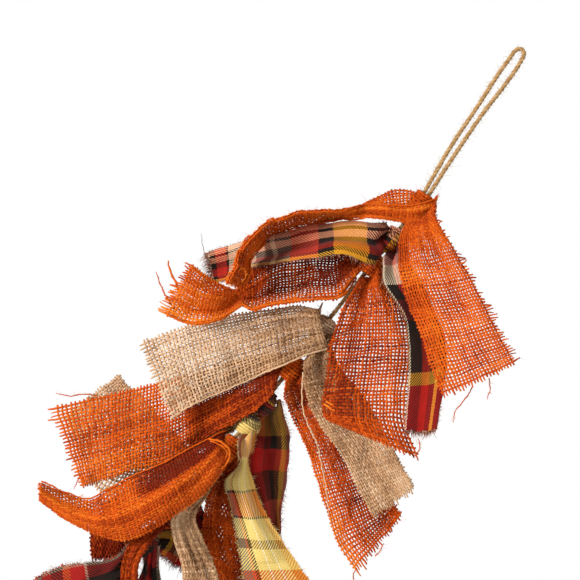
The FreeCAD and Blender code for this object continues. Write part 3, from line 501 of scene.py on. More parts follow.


# ---------------------------------------------------------- weaving the yarn
# The tone offsets along and across the strip and in a cupped hollow are painted shade and painted highlight; the
# rolled-edge tone lift is a painted highlight.
def weave(bd, fz, surf, rng, width=50.0, pitch=2.1, radius=0.50, fray_end=4.0, fray_side=(1.3, 1.3), start_s=0.0,
          painted_light_along=None, painted_light_across=None, painted_cup_shade=None, hem=(), hem_painted_highlight=0.25,
          tone=0.5, fuzz=1800, distort=0.55, skip_end=0, sag=True, gaps=0.0, tone_field=0.12):
    """Real over-and-under weave on a surface."""
    L = surf.L
    nw = max(4, int(round(width / pitch)))
    nf = max(4, int(round((L - start_s) / pitch)))
    fld = Field(rng, 26.0)
    fld2 = Field(rng, 24.0)
    big = Field(rng, 60.0)

    # painted shade and painted highlight: tone offsets along the strip and across it, darkening parts in shadow and
    # lightening lit rims
    def shading(SS, TT):
        a = 0.0
        if painted_light_along:
            a = a + np.interp(SS, [q for q, _ in painted_light_along], [q for _, q in painted_light_along])
        if painted_light_across:
            a = a + np.interp(TT / (width / 2), [q for q, _ in painted_light_across], [q for _, q in painted_light_across])
        # painted shade in the hollow of a cupped tail near its knot
        if painted_cup_shade:
            q = TT / (width / 2)
            a = a + painted_cup_shade[2] * np.clip((painted_cup_shade[1] - q) / 0.12, 0, 1) * np.clip((painted_cup_shade[0] - SS) / 16.0, 0, 1)
        return a

    def shift(s, tmm):
        return s + distort * fld(s, tmm), tmm + distort * fld2(s, tmm)

    # warp yarns, along the strip
    step = pitch / 2.0
    ext = fray_end * rng.uniform(0.35, 1.25, nw)
    ns = int((L - start_s + fray_end * 1.25) / step) + 2
    S = start_s + np.arange(ns) * step
    tj = (-width / 2 + (np.arange(nw) + 0.5) * width / nw)
    end = L + ext
    SS = np.minimum(S[None, :], end[:, None])
    # samples past the end are spread back so tubes stay clean
    frac = np.linspace(0, 1, ns)[None, :]
    SS = start_s + frac * (end[:, None] - start_s)
    TT = tj[:, None] + 0.22 * wave_noise(rng, nw, frac[0] * L, 30.0, 1.0)
    over = np.clip(SS - (L - skip_end), 0, None)
    s2, t2 = shift(np.minimum(SS, L), TT)
    s2 = s2 + (SS - np.minimum(SS, L))
    P = surf.pos(s2, t2 / (width / 2))
    N = surf.normal(np.minimum(s2, L), t2 / (width / 2))
    wv = np.cos(math.pi * ((SS - start_s) / pitch - 0.5) + math.pi * np.arange(nw)[:, None])
    P = P + N * (wv * radius * 0.72 * np.exp(-over / 1.5))[..., None]
    if fray_end > 0:
        fr = np.clip(SS - L, 0, None)
        curl = rng.normal(0, 1, (nw, 1, 3)) * 0.10
        P = P + curl * (fr ** 1.5)[..., None] * 0.45
        P[..., 2] -= 0.012 * fr ** 2
        P = P + 0.5 * np.sin(fr[..., None] * rng.uniform(0.5, 1.1, (nw, 1, 1)) + rng.uniform(0, 6, (nw, 1, 3))) * np.clip(fr / 4, 0, 1)[..., None] * 0.6
    yt = rng.normal(0, 0.10, (nw, 1))
    tn = tone + yt + 0.07 * wave_noise(rng, nw, SS[0], 9.0, 1.0) + tone_field * big(s2, t2)
    R = radius * (1 + 0.16 * wave_noise(rng, nw, SS[0], 14.0, 1.0) + rng.normal(0, 0.09, (nw, 1)))
    R = R * (1 - 0.35 * np.clip((SS - L) / np.maximum(ext[:, None], 0.1), 0, 1))
    tn = tn + shading(SS, TT)
    bd.tubes(P, R, 5, N, flat=1.44, tone=tn)
    warp = (P, N, tn)

    # weft yarns, across it
    si = start_s + (np.arange(nf) + 0.5) * (L - start_s) / nf
    if skip_end:
        si = si[si < L - skip_end]
    nf = len(si)
    e0 = fray_side[0] * rng.uniform(0.1, 1.4, nf)
    e1 = fray_side[1] * rng.uniform(0.1, 1.4, nf)
    nt = int((width + fray_side[0] + fray_side[1]) / step) + 3
    fr = np.linspace(0, 1, nt)[None, :]
    lo = -width / 2 - e0[:, None]
    hi = width / 2 + e1[:, None]
    TT = lo + fr * (hi - lo)
    SS = si[:, None] + 0.22 * wave_noise(rng, nf, fr[0] * width, 26.0, 1.0)
    out = np.clip(np.abs(TT) - width / 2, 0, None)
    s2, t2 = shift(SS, TT)
    P = surf.pos(s2, t2 / (width / 2))
    N = surf.normal(s2, np.clip(t2 / (width / 2), -1, 1))
    wv = -np.cos(math.pi * ((TT + width / 2) / (width / nw) - 0.5)) * np.cos(math.pi * np.arange(nf))[:, None]
    P = P + N * (wv * radius * 0.72 * np.exp(-out / 1.2))[..., None]
    P = P + (np.clip(out, 0, 6) ** 1.4)[..., None] * rng.normal(0, 0.10, (nf, 1, 3))
    tn = tone + rng.normal(0, 0.10, (nf, 1)) + 0.07 * wave_noise(rng, nf, TT[0], 9.0, 1.0) + tone_field * big(s2, t2)
    R = radius * (1 + 0.16 * wave_noise(rng, nf, TT[0], 14.0, 1.0) + rng.normal(0, 0.09, (nf, 1)))
    R = R * (1 - 0.4 * np.clip(out / 3.0, 0, 1))
    tn = tn + shading(SS, TT)
    bd.tubes(P, R, 5, N, flat=1.44, tone=tn)

    # rolled edges: a bundle of yarns lying along an edge, its tone lifted by a painted highlight for the lit rim
    for sign, count, spread in hem:
        q = np.linspace(0, L, int(L / 1.2))
        for j in range(count):
            tt = sign * (width / 2 - spread * (j + 0.5) / count) / (width / 2)
            tt = tt + 0.012 * wave_noise(rng, 1, q, 11.0, 1.0)[0]
            PP = surf.pos(q, tt)
            NN = surf.normal(q, np.clip(tt, -1, 1))
            NN = NN * np.where(NN[:, 1:2] > 0, -1.0, 1.0)
            off = 0.9 + 0.5 * math.sin(math.pi * (j + 0.5) / count) + 0.25 * wave_noise(rng, 1, q, 5.0, 1.0)[0]
            PP = PP + NN * off[:, None]
            fz.tubes(PP[None], 0.55 * (1 + 0.2 * wave_noise(rng, 1, q, 4.0, 1.0)), 5, None, 1.0,
                     tone=tone + hem_painted_highlight + 0.1 * wave_noise(rng, 1, q, 3.0, 1.0))

    # loose fibres standing off the yarn
    if fuzz:
        for (PP, NN, TN) in (warp, (P, N, tn)):
            k = fuzz // 2
            a = rng.integers(0, PP.shape[0], k)
            b = rng.integers(1, PP.shape[1] - 1, k)
            p = PP[a, b]
            tg = unit(PP[a, b + 1] - PP[a, b - 1])
            n = NN[a, b] * rng.choice([-1.0, 1.0], (k, 1))
            d = unit(tg * rng.normal(0, 1.0, (k, 1)) + n * rng.uniform(0.3, 1.3, (k, 1)) + rng.normal(0, 0.35, (k, 3)))
            ln = rng.gamma(2.0, 0.75, k)[:, None] + 0.6
            side = unit(np.cross(d, rng.normal(0, 1, (k, 3))))
            p0 = p + n * radius * 0.5
            p1 = p0 + d * ln * 0.5 + side * ln * 0.12
            p2 = p0 + d * ln + side * ln * rng.normal(0, 0.25, (k, 1))
            fz.tubes(np.stack([p0, p1, p2], 1), np.array([[0.075, 0.06, 0.03]]), 3, None, 1.0,
                     tone=(TN[a, b] + 0.22)[:, None] * np.ones((1, 3)), caps=False)
    return warp


def yarn_line(bd, fz, pts, rng, radius=0.5, tone=0.5, wob=0.35, fuzz=30):
    """A single loose yarn through given points, mm."""
    pts = np.array(pts, float)
    d = np.concatenate([[0], np.cumsum(np.linalg.norm(np.diff(pts, axis=0), axis=1))])
    n = max(8, int(d[-1] / 1.2))
    u = np.linspace(0, d[-1], n)
    i = np.clip(np.searchsorted(d, u, side="right") - 1, 0, len(d) - 2)
    D = np.gradient(pts, d, axis=0)
    h = (d[i + 1] - d[i])[:, None]
    v = ((u - d[i])[:, None]) / h
    P = ((2 * v ** 3 - 3 * v ** 2 + 1) * pts[i] + (v ** 3 - 2 * v ** 2 + v) * h * D[i]
         + (-2 * v ** 3 + 3 * v ** 2) * pts[i + 1] + (v ** 3 - v ** 2) * h * D[i + 1])
    w = np.stack([wave_noise(rng, 1, u, 7.0, wob)[0] for _ in range(3)], 1)
    P = P + w * np.clip(np.minimum(u, d[-1]) / 3.0, 0, 1)[:, None]
    R = radius * (1 + 0.25 * wave_noise(rng, 1, u, 6.0, 1.0)[0]) * (1 - 0.5 * (u / d[-1]) ** 3)
    bd.tubes(P[None], R[None], 5, None, 1.0, tone=(tone + 0.1 * wave_noise(rng, 1, u, 5.0, 1.0)[0])[None])
    k = fuzz
    if k:
        b = rng.integers(1, n - 1, k)
        dd = unit(rng.normal(0, 1, (k, 3)))
        ln = rng.gamma(2.0, 0.6, k)[:, None] + 0.5
        p0 = P[b]
        fz.tubes(np.stack([p0, p0 + dd * ln * 0.5, p0 + dd * ln + rng.normal(0, 0.4, (k, 3))], 1),
                 np.array([[0.075, 0.06, 0.03]]), 3, None, 1.0, tone=tone + 0.2, caps=False)


# ------------------------------------------------------------------ materials
def srgb(hexa):
    v = [int(hexa[i:i + 2], 16) / 255.0 for i in (1, 3, 5)]
    return tuple((c / 12.92 if c <= 0.04045 else ((c + 0.055) / 1.055) ** 2.4) for c in v) + (1.0,)


def base_material(name, rough=0.92, sheen=0.25, sheen_tint=(1, 1, 1, 1)):
    m = bpy.data.materials.new(name)
    m.use_nodes = True
    bs = m.node_tree.nodes["Principled BSDF"]
    bs.inputs["Roughness"].default_value = rough
    bs.inputs["Specular IOR Level"].default_value = 0.15
    bs.inputs["Sheen Weight"].default_value = sheen
    bs.inputs["Sheen Roughness"].default_value = 0.6
    bs.inputs["Sheen Tint"].default_value = sheen_tint
    return m, bs


def yarn_material(name, dark, mid, light, sheen=0.2):
    m, bs = base_material(name, 0.95, sheen, srgb(light))
    nt = m.node_tree
    # tone mixes random yarn colour with painted shade and painted highlight, so the dark and light ends of this ramp
    # also serve as painted shade and painted highlight
    at = nt.nodes.new("ShaderNodeAttribute")
    at.attribute_name = "tone"
    cr = nt.nodes.new("ShaderNodeValToRGB")
    cr.color_ramp.elements[0].position = 0.1
    cr.color_ramp.elements[0].color = srgb(dark)
    cr.color_ramp.elements[1].position = 0.95
    cr.color_ramp.elements[1].color = srgb(light)
    e = cr.color_ramp.elements.new(0.5)
    e.color = srgb(mid)
    nt.links.new(at.outputs["Fac"], cr.inputs["Fac"])
    nt.links.new(cr.outputs["Color"], bs.inputs["Base Color"])
    return m


def ramp_stripes(nt, src, stripes, total):
    """Constant colour bands along src (mm), repeating every total."""
    mod = nt.nodes.new("ShaderNodeMath")
    mod.operation = "FLOORED_MODULO"
    mod.inputs[1].default_value = total
    nt.links.new(src, mod.inputs[0])
    dv = nt.nodes.new("ShaderNodeMath")
    dv.operation = "DIVIDE"
    dv.inputs[1].default_value = total
    nt.links.new(mod.outputs[0], dv.inputs[0])
    cr = nt.nodes.new("ShaderNodeValToRGB")
    cr.color_ramp.interpolation = "CONSTANT"
    el = cr.color_ramp.elements
    pos = 0.0
    for i, (w, col) in enumerate(stripes):
        if i < 2:
            e = el[i]
            e.position = pos / total
        else:
            e = el.new(min(0.9999, pos / total))
        e.color = srgb(col)
        pos += w
    nt.links.new(dv.outputs[0], cr.inputs["Fac"])
    return cr.outputs["Color"]


def zone(bands, total, fill):
    w = sum(b[0] for b in bands)
    return list(bands) + ([(total - w, fill)] if total - w > 0.01 else [])


def plaid_material(name, up, low, up_across, low_across, twill=1.9, soften=0.7):
    """up, low: bands met going out along each tail; the across lists run from edge to edge."""
    along = zone(up, 200.0, up[-1][1]) + zone(low, 200.0, low[-1][1])
    across = zone(up_across, 100.0, up_across[-1][1]) + zone(low_across, 100.0, low_across[-1][1])
    m, bs = base_material(name, 0.95, 0.06, (1, 0.9, 0.8, 1))
    nt = m.node_tree
    N = nt.nodes
    uv = N.new("ShaderNodeUVMap")
    uv.uv_map = "cloth"
    sep = N.new("ShaderNodeSeparateXYZ")
    nt.links.new(uv.outputs["UV"], sep.inputs[0])
    # a little wander in the bands
    noise = N.new("ShaderNodeTexNoise")
    noise.inputs["Scale"].default_value = 0.35
    noise.inputs["Detail"].default_value = 2.0
    nt.links.new(uv.outputs["UV"], noise.inputs["Vector"])

    def wander(sock, amt):
        s = N.new("ShaderNodeMath")
        s.operation = "SUBTRACT"
        s.inputs[1].default_value = 0.5
        nt.links.new(noise.outputs["Fac"], s.inputs[0])
        a = N.new("ShaderNodeMath")
        a.operation = "MULTIPLY_ADD"
        a.inputs[1].default_value = amt
        nt.links.new(s.outputs[0], a.inputs[0])
        nt.links.new(sock, a.inputs[2])
        return a.outputs[0]

    u = wander(sep.outputs["X"], 0.8)
    v = wander(sep.outputs["Y"], 0.8)
    ca = ramp_stripes(nt, u, along, sum(w for w, _ in along))
    cb = ramp_stripes(nt, v, across, sum(w for w, _ in across))
    tw = N.new("ShaderNodeMath")
    tw.operation = "ADD"
    nt.links.new(sep.outputs["X"], tw.inputs[0])
    nt.links.new(sep.outputs["Y"], tw.inputs[1])
    sc = N.new("ShaderNodeMath")
    sc.operation = "MULTIPLY"
    sc.inputs[1].default_value = 2 * math.pi / twill
    nt.links.new(tw.outputs[0], sc.inputs[0])
    sn = N.new("ShaderNodeMath")
    sn.operation = "SINE"
    nt.links.new(sc.outputs[0], sn.inputs[0])
    mr = N.new("ShaderNodeMapRange")
    mr.inputs["From Min"].default_value = -soften
    mr.inputs["From Max"].default_value = soften
    nt.links.new(sn.outputs[0], mr.inputs["Value"])
    mix = N.new("ShaderNodeMix")
    mix.data_type = "RGBA"
    nt.links.new(mr.outputs["Result"], mix.inputs["Factor"])
    nt.links.new(ca, mix.inputs["A"])
    nt.links.new(cb, mix.inputs["B"])
    # nap: light and dark flecks
    n2 = N.new("ShaderNodeTexNoise")
    n2.inputs["Scale"].default_value = 1.6
    n2.inputs["Detail"].default_value = 3.0
    nt.links.new(uv.outputs["UV"], n2.inputs["Vector"])
    mr2 = N.new("ShaderNodeMapRange")
    mr2.inputs["From Min"].default_value = 0.3
    mr2.inputs["From Max"].default_value = 0.7
    mr2.inputs["To Min"].default_value = 0.55
    mr2.inputs["To Max"].default_value = 1.05
    nt.links.new(n2.outputs["Fac"], mr2.inputs["Value"])
    mul = N.new("ShaderNodeMix")
    mul.data_type = "RGBA"
    mul.blend_type = "MULTIPLY"
    mul.inputs["Factor"].default_value = 1.0
    nt.links.new(mix.outputs["Result"], mul.inputs["A"])
    nt.links.new(mr2.outputs["Result"], mul.inputs["B"])
    nt.links.new(mul.outputs["Result"], bs.inputs["Base Color"])
    return m


def plain_material(name, col, rough=0.9):
    m, bs = base_material(name, rough, 0.2)
    bs.inputs["Base Color"].default_value = srgb(col)
    return m


ORANGE = yarn_material("orange_burlap_yarn", "#6E1A03", "#C24C0A", "#E47A20", 0.04)
NATURAL = yarn_material("natural_burlap_yarn", "#724828", "#C29870", "#E8CCAC", 0.04)
JUTE = yarn_material("jute_yarn", "#7C5630", "#B08A5A", "#D2B182")
BLACKBR, GOLD, RED, SALMON, CREAM, BROWN, GREY, DRED = "#1E120E", "#D9992A", "#B01810", "#C8483A", "#DCC8A8", "#5A2E1C", "#6E5A50", "#6A0E0A"

GC, SAL2, PALE, ORG = "#E0A040", "#E0755C", "#F0D078", "#D0561A"
PLAID = {
    "plaid_flannel_tie_1": plaid_material("plaid_flannel_1",
        [(11.6, DRED), (6.1, BLACKBR), (20, "#D8900C"), (10.4, BLACKBR), (16.5, "#C8402C"), (9.8, "#8A7060"), (3, CREAM), (10.4, "#8A7060"),
         (17, CREAM), (2, BLACKBR), (7, "#C02C1C"), (2, BLACKBR), (12, CREAM)],
        [(12.8, DRED), (9, "#C08070"), (11.6, CREAM), (11.6, BLACKBR), (14, DRED), (7.3, BLACKBR), (24.4, "#2E160E"), (8.5, "#C08420"), (20, "#A80E0A")],
        [(5, "#ECA078"), (2.5, BLACKBR), (5.5, "#ECA078"), (6, BLACKBR), (9, "#A81C10"), (3, BLACKBR), (3, GOLD)],
        [(1.5, CREAM), (9, BLACKBR), (7, "#A81C10"), (6, BLACKBR), (4, GOLD), (6.5, BLACKBR)]),
    "plaid_flannel_tie_2": plaid_material("plaid_flannel_2",
        [(14, BLACKBR), (10, DRED), (12, BROWN), (20, BLACKBR)],
        [(22, "#8A6420"), (9, BLACKBR), (14, "#B4140E"), (19, "#34190E"), (16, "#A03A28")],
        [(8, BROWN), (2.5, GOLD), (9, RED), (7, BLACKBR), (8, DRED)],
        [(12, "#A81610"), (6, DRED), (5, BLACKBR), (4, "#5A3014"), (3.5, "#B88428"), (3.5, "#A05040")]),
    "yellow_plaid_tie": plaid_material("yellow_plaid",
        [(14, BLACKBR), (12, ORG), (20, PALE)],
        [(9, "#A86000"), (13.5, "#B83A00"), (22.5, PALE), (1.2, BLACKBR), (16, ORG), (1.2, BLACKBR), (13.5, PALE), (6, "#8A6A3A"), (14, PALE), (20, ORG)],
        [(6, GREY), (8, BLACKBR), (20, PALE)],
        [(5, "#6A6058"), (2, SALMON), (2, BLACKBR), (6, PALE), (1.2, "#FFF4D8"), (5, PALE), (1.2, "#FFF4D8"), (5, PALE), (6.6, "#E09A38")]),
    "plaid_flannel_tie_3": plaid_material("plaid_flannel_3",
        [(10, BLACKBR), (12, RED), (10, BLACKBR), (12, GREY)],
        [(9, BLACKBR), (14, "#B81A12"), (8, BLACKBR), (5, GOLD), (12, BLACKBR), (12, RED)],
        [(9, BLACKBR), (9, RED), (3, GOLD), (13, BLACKBR)],
        [(8, BLACKBR), (3, GOLD), (8, "#8A4A1E"), (8, RED), (7, BLACKBR)]),
    "plaid_flannel_tie_4": plaid_material("plaid_flannel_4",
        [(44, BLACKBR), (2.5, "#A88C74"), (9, "#A81610"), (5, "#B84A1A"), (8, BLACKBR), (12, "#8A1810"), (40, BLACKBR)],
        [(10, RED), (9, BLACKBR), (12, RED), (20, BLACKBR)],
        [(1.5, "#8A7460"), (8, "#8A1810"), (25, BLACKBR)],
        [(9, GREY), (8, RED), (9, BLACKBR), (8, CREAM)]),
}
FUZZ = {
    "plaid_flannel_tie_1": yarn_material("plaid_1_fringe", "#2A1410", "#8A3A28", "#D8B090"),
    "plaid_flannel_tie_2": yarn_material("plaid_2_fringe", "#3A1410", "#A83A28", "#D8A080"),
    "yellow_plaid_tie": yarn_material("yellow_plaid_fringe", "#8A6030", "#E0B868", "#F4E0B0"),
    "plaid_flannel_tie_3": yarn_material("plaid_3_fringe", "#1E100C", "#7A2018", "#C09080"),
    "plaid_flannel_tie_4": yarn_material("plaid_4_fringe", "#1E100C", "#6E5048", "#C8A890"),
}


# ------------------------------------------------------- jute twine and loops
CORNERS = [(-62.23, 0.0, -95.15), (-176.90, 0.0, -242.17), (-217.77, 0.0, -288.53), (-250.10, 0.0, -323.91), (-275.72, 0.0, -350.75)]
LOOP = [(0.0, -1.6), (14.0, -2.4), (38.0, -3.7), (62.5, -2.9), (86.5, -3.2), (99.5, -2.6), (106.5, -2.3), (108.3, 0.8), (106.5, 3.9),
        (99.5, 4.3), (86.5, 4.2), (62.5, 1.9), (38.0, 1.4), (14.0, 1.25), (0.0, 1.6)]


def nurbs_points(points, res=24):
    cu = bpy.data.curves.new("route", "CURVE")
    cu.dimensions = "3D"
    sp = cu.splines.new("NURBS")
    sp.points.add(len(points) - 1)
    for p, q in zip(sp.points, points):
        p.co = (q[0] * MM, q[1] * MM, q[2] * MM, 1.0)
    sp.order_u = 3
    sp.use_endpoint_u = True
    sp.resolution_u = res
    ob = bpy.data.objects.new("route", cu)
    bpy.context.scene.collection.objects.link(ob)
    dg = bpy.context.evaluated_depsgraph_get()
    me = bpy.data.meshes.new_from_object(ob.evaluated_get(dg))
    pts = np.array([v.co[:] for v in me.vertices]) / MM
    bpy.data.objects.remove(ob)
    bpy.data.curves.remove(cu)
    bpy.data.meshes.remove(me)
    return pts


def resample(pts, step):
    d = np.concatenate([[0], np.cumsum(np.linalg.norm(np.diff(pts, axis=0), axis=1))])
    keep = np.concatenate([[True], np.diff(d) > 1e-6])
    pts, d = pts[keep], d[keep]
    n = max(6, int(d[-1] / step))
    u = np.linspace(0, d[-1], n)
    return np.stack([np.interp(u, d, pts[:, k]) for k in range(3)], 1), u


def rope(name, points, rng, hand=1.0, lay=8.5):
    """Three-ply twisted jute following the route."""
    line = nurbs_points(points)
    P, u = resample(line, 0.8)
    T = unit(np.gradient(P, axis=0))
    X = np.broadcast_to(np.array([0, 1.0, 0]), P.shape)
    Y = unit(np.cross(T, X))
    X = np.cross(Y, T)
    bd, fz = Builder(), Builder()
    plies, radii, tones = [], [], []
    for k in range(3):
        a = hand * 2 * math.pi * u / lay + 2 * math.pi * k / 3 + 0.25 * np.sin(u / 13.0)
        rr = 0.68 + 0.06 * wave_noise(rng, 1, u, 20.0, 1.0)[0]
        plies.append(P + (X * np.cos(a)[:, None] + Y * np.sin(a)[:, None]) * rr[:, None])
        radii.append(0.72 * (1 + 0.10 * wave_noise(rng, 1, u, 12.0, 1.0)[0]))
        tones.append(0.5 + 0.08 * (k - 1) + 0.16 * wave_noise(rng, 1, u, 7.0, 1.0)[0])
    plies, radii, tones = np.stack(plies), np.stack(radii), np.stack(tones)
    bd.tubes(plies, radii, 7, None, 1.0, tone=tones)
    # surface strands give the twisted fibre look, and short hairs stand off
    k = int(u[-1] * 7)
    a = rng.integers(0, 3, k)
    b = rng.integers(2, len(u) - 4, k)
    c = plies[a, b]
    out = unit(c - P[b] + rng.normal(0, 0.45, (k, 3)))
    tg = T[b]
    d = unit(out * rng.uniform(0.2, 1.2, (k, 1)) + tg * rng.normal(0, 0.9, (k, 1)) + rng.normal(0, 0.25, (k, 3)))
    ln = rng.gamma(1.6, 0.9, k)[:, None] + 0.4
    p0 = c + out * 0.6
    p2 = p0 + d * ln + rng.normal(0, 0.25, (k, 3)) * ln
    fz.tubes(np.stack([p0, (p0 + p2) / 2 + out * 0.15 * ln, p2], 1), np.array([[0.07, 0.055, 0.03]]), 3, None, 1.0,
             tone=0.75, caps=False)
    ob = bd.object(name, JUTE)
    fo = fz.object(name + "_fuzz", JUTE)
    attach(ob, "twine_set")
    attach(fo, "twine_set")
    return ob, fo, [tuple(p * MM) for p in P[::2]] + [tuple(P[-1] * MM)], float(u[-1])


def vec(p):
    return np.array(p, float)


def dir_(a, b):
    return unit(vec(b) - vec(a))


rngt = np.random.default_rng(11)
D0, D1 = dir_(CORNERS[0], CORNERS[1]), dir_(CORNERS[-2], CORNERS[-1])
TOP_IN, TOP_OUT = vec(CORNERS[0]) + D0 * 4.5, vec(CORNERS[0]) - D0 * 4.5
END_IN, END_OUT = vec(CORNERS[-1]) - D1 * 4.5, vec(CORNERS[-1]) + D1 * 4.5


def loop_points(face, direction):
    d = unit(vec(direction))
    ac = np.array([d[2], 0.0, -d[0]])
    return [tuple(face + d * s + ac * w) for s, w in LOOP]


twine, twine_f, path, ln = rope("jute_backbone", [tuple(TOP_IN)] + CORNERS[1:-1] + [tuple(END_IN)], rngt)
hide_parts("backbone_twine")
pts = loop_points(TOP_OUT, (0.5445, 0.0, 0.8388))
hl, hl_f, path, ln = rope("jute_hanging_loop", pts, rngt)
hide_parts("hanging_loop")
pts = loop_points(END_OUT, (-0.7220, 0.0, -0.6919))
el, el_f, path, ln = rope("jute_end_loop", pts, rngt)
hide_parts("end_loop")


def lump(name, centre, along, node):
    """Overhand knot of the same twine."""
    a = unit(vec(along))
    x = np.array([0, 1.0, 0])
    y = np.cross(a, x)
    t = np.linspace(0, 2 * math.pi, 90)
    px = (np.sin(t) + 2 * np.sin(2 * t)) * 0.98
    py = (np.cos(t) - 2 * np.cos(2 * t)) * 0.98
    pz = -np.sin(3 * t) * 1.9
    P = vec(centre) + x * px[:, None] + y * py[:, None] + a * pz[:, None]
    bd = Builder()
    for k in range(3):
        T = unit(np.gradient(P, axis=0))
        X = unit(np.cross(T, np.array([0.3, 0.9, 0.2])))
        Y = np.cross(T, X)
        an = t * 6 + k * 2.094
        Q = P + (X * np.cos(an)[:, None] + Y * np.sin(an)[:, None]) * 0.62
        bd.tubes(Q[None], 0.66, 7, None, 1.0, tone=0.45 + 0.05 * k)
    ob = bd.object(name, JUTE)
    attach(ob, "twine_set")
    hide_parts(node)


lump("jute_top_knot", CORNERS[0], D0, "top_knot")
lump("jute_end_knot", CORNERS[-1], D1, "end_knot")
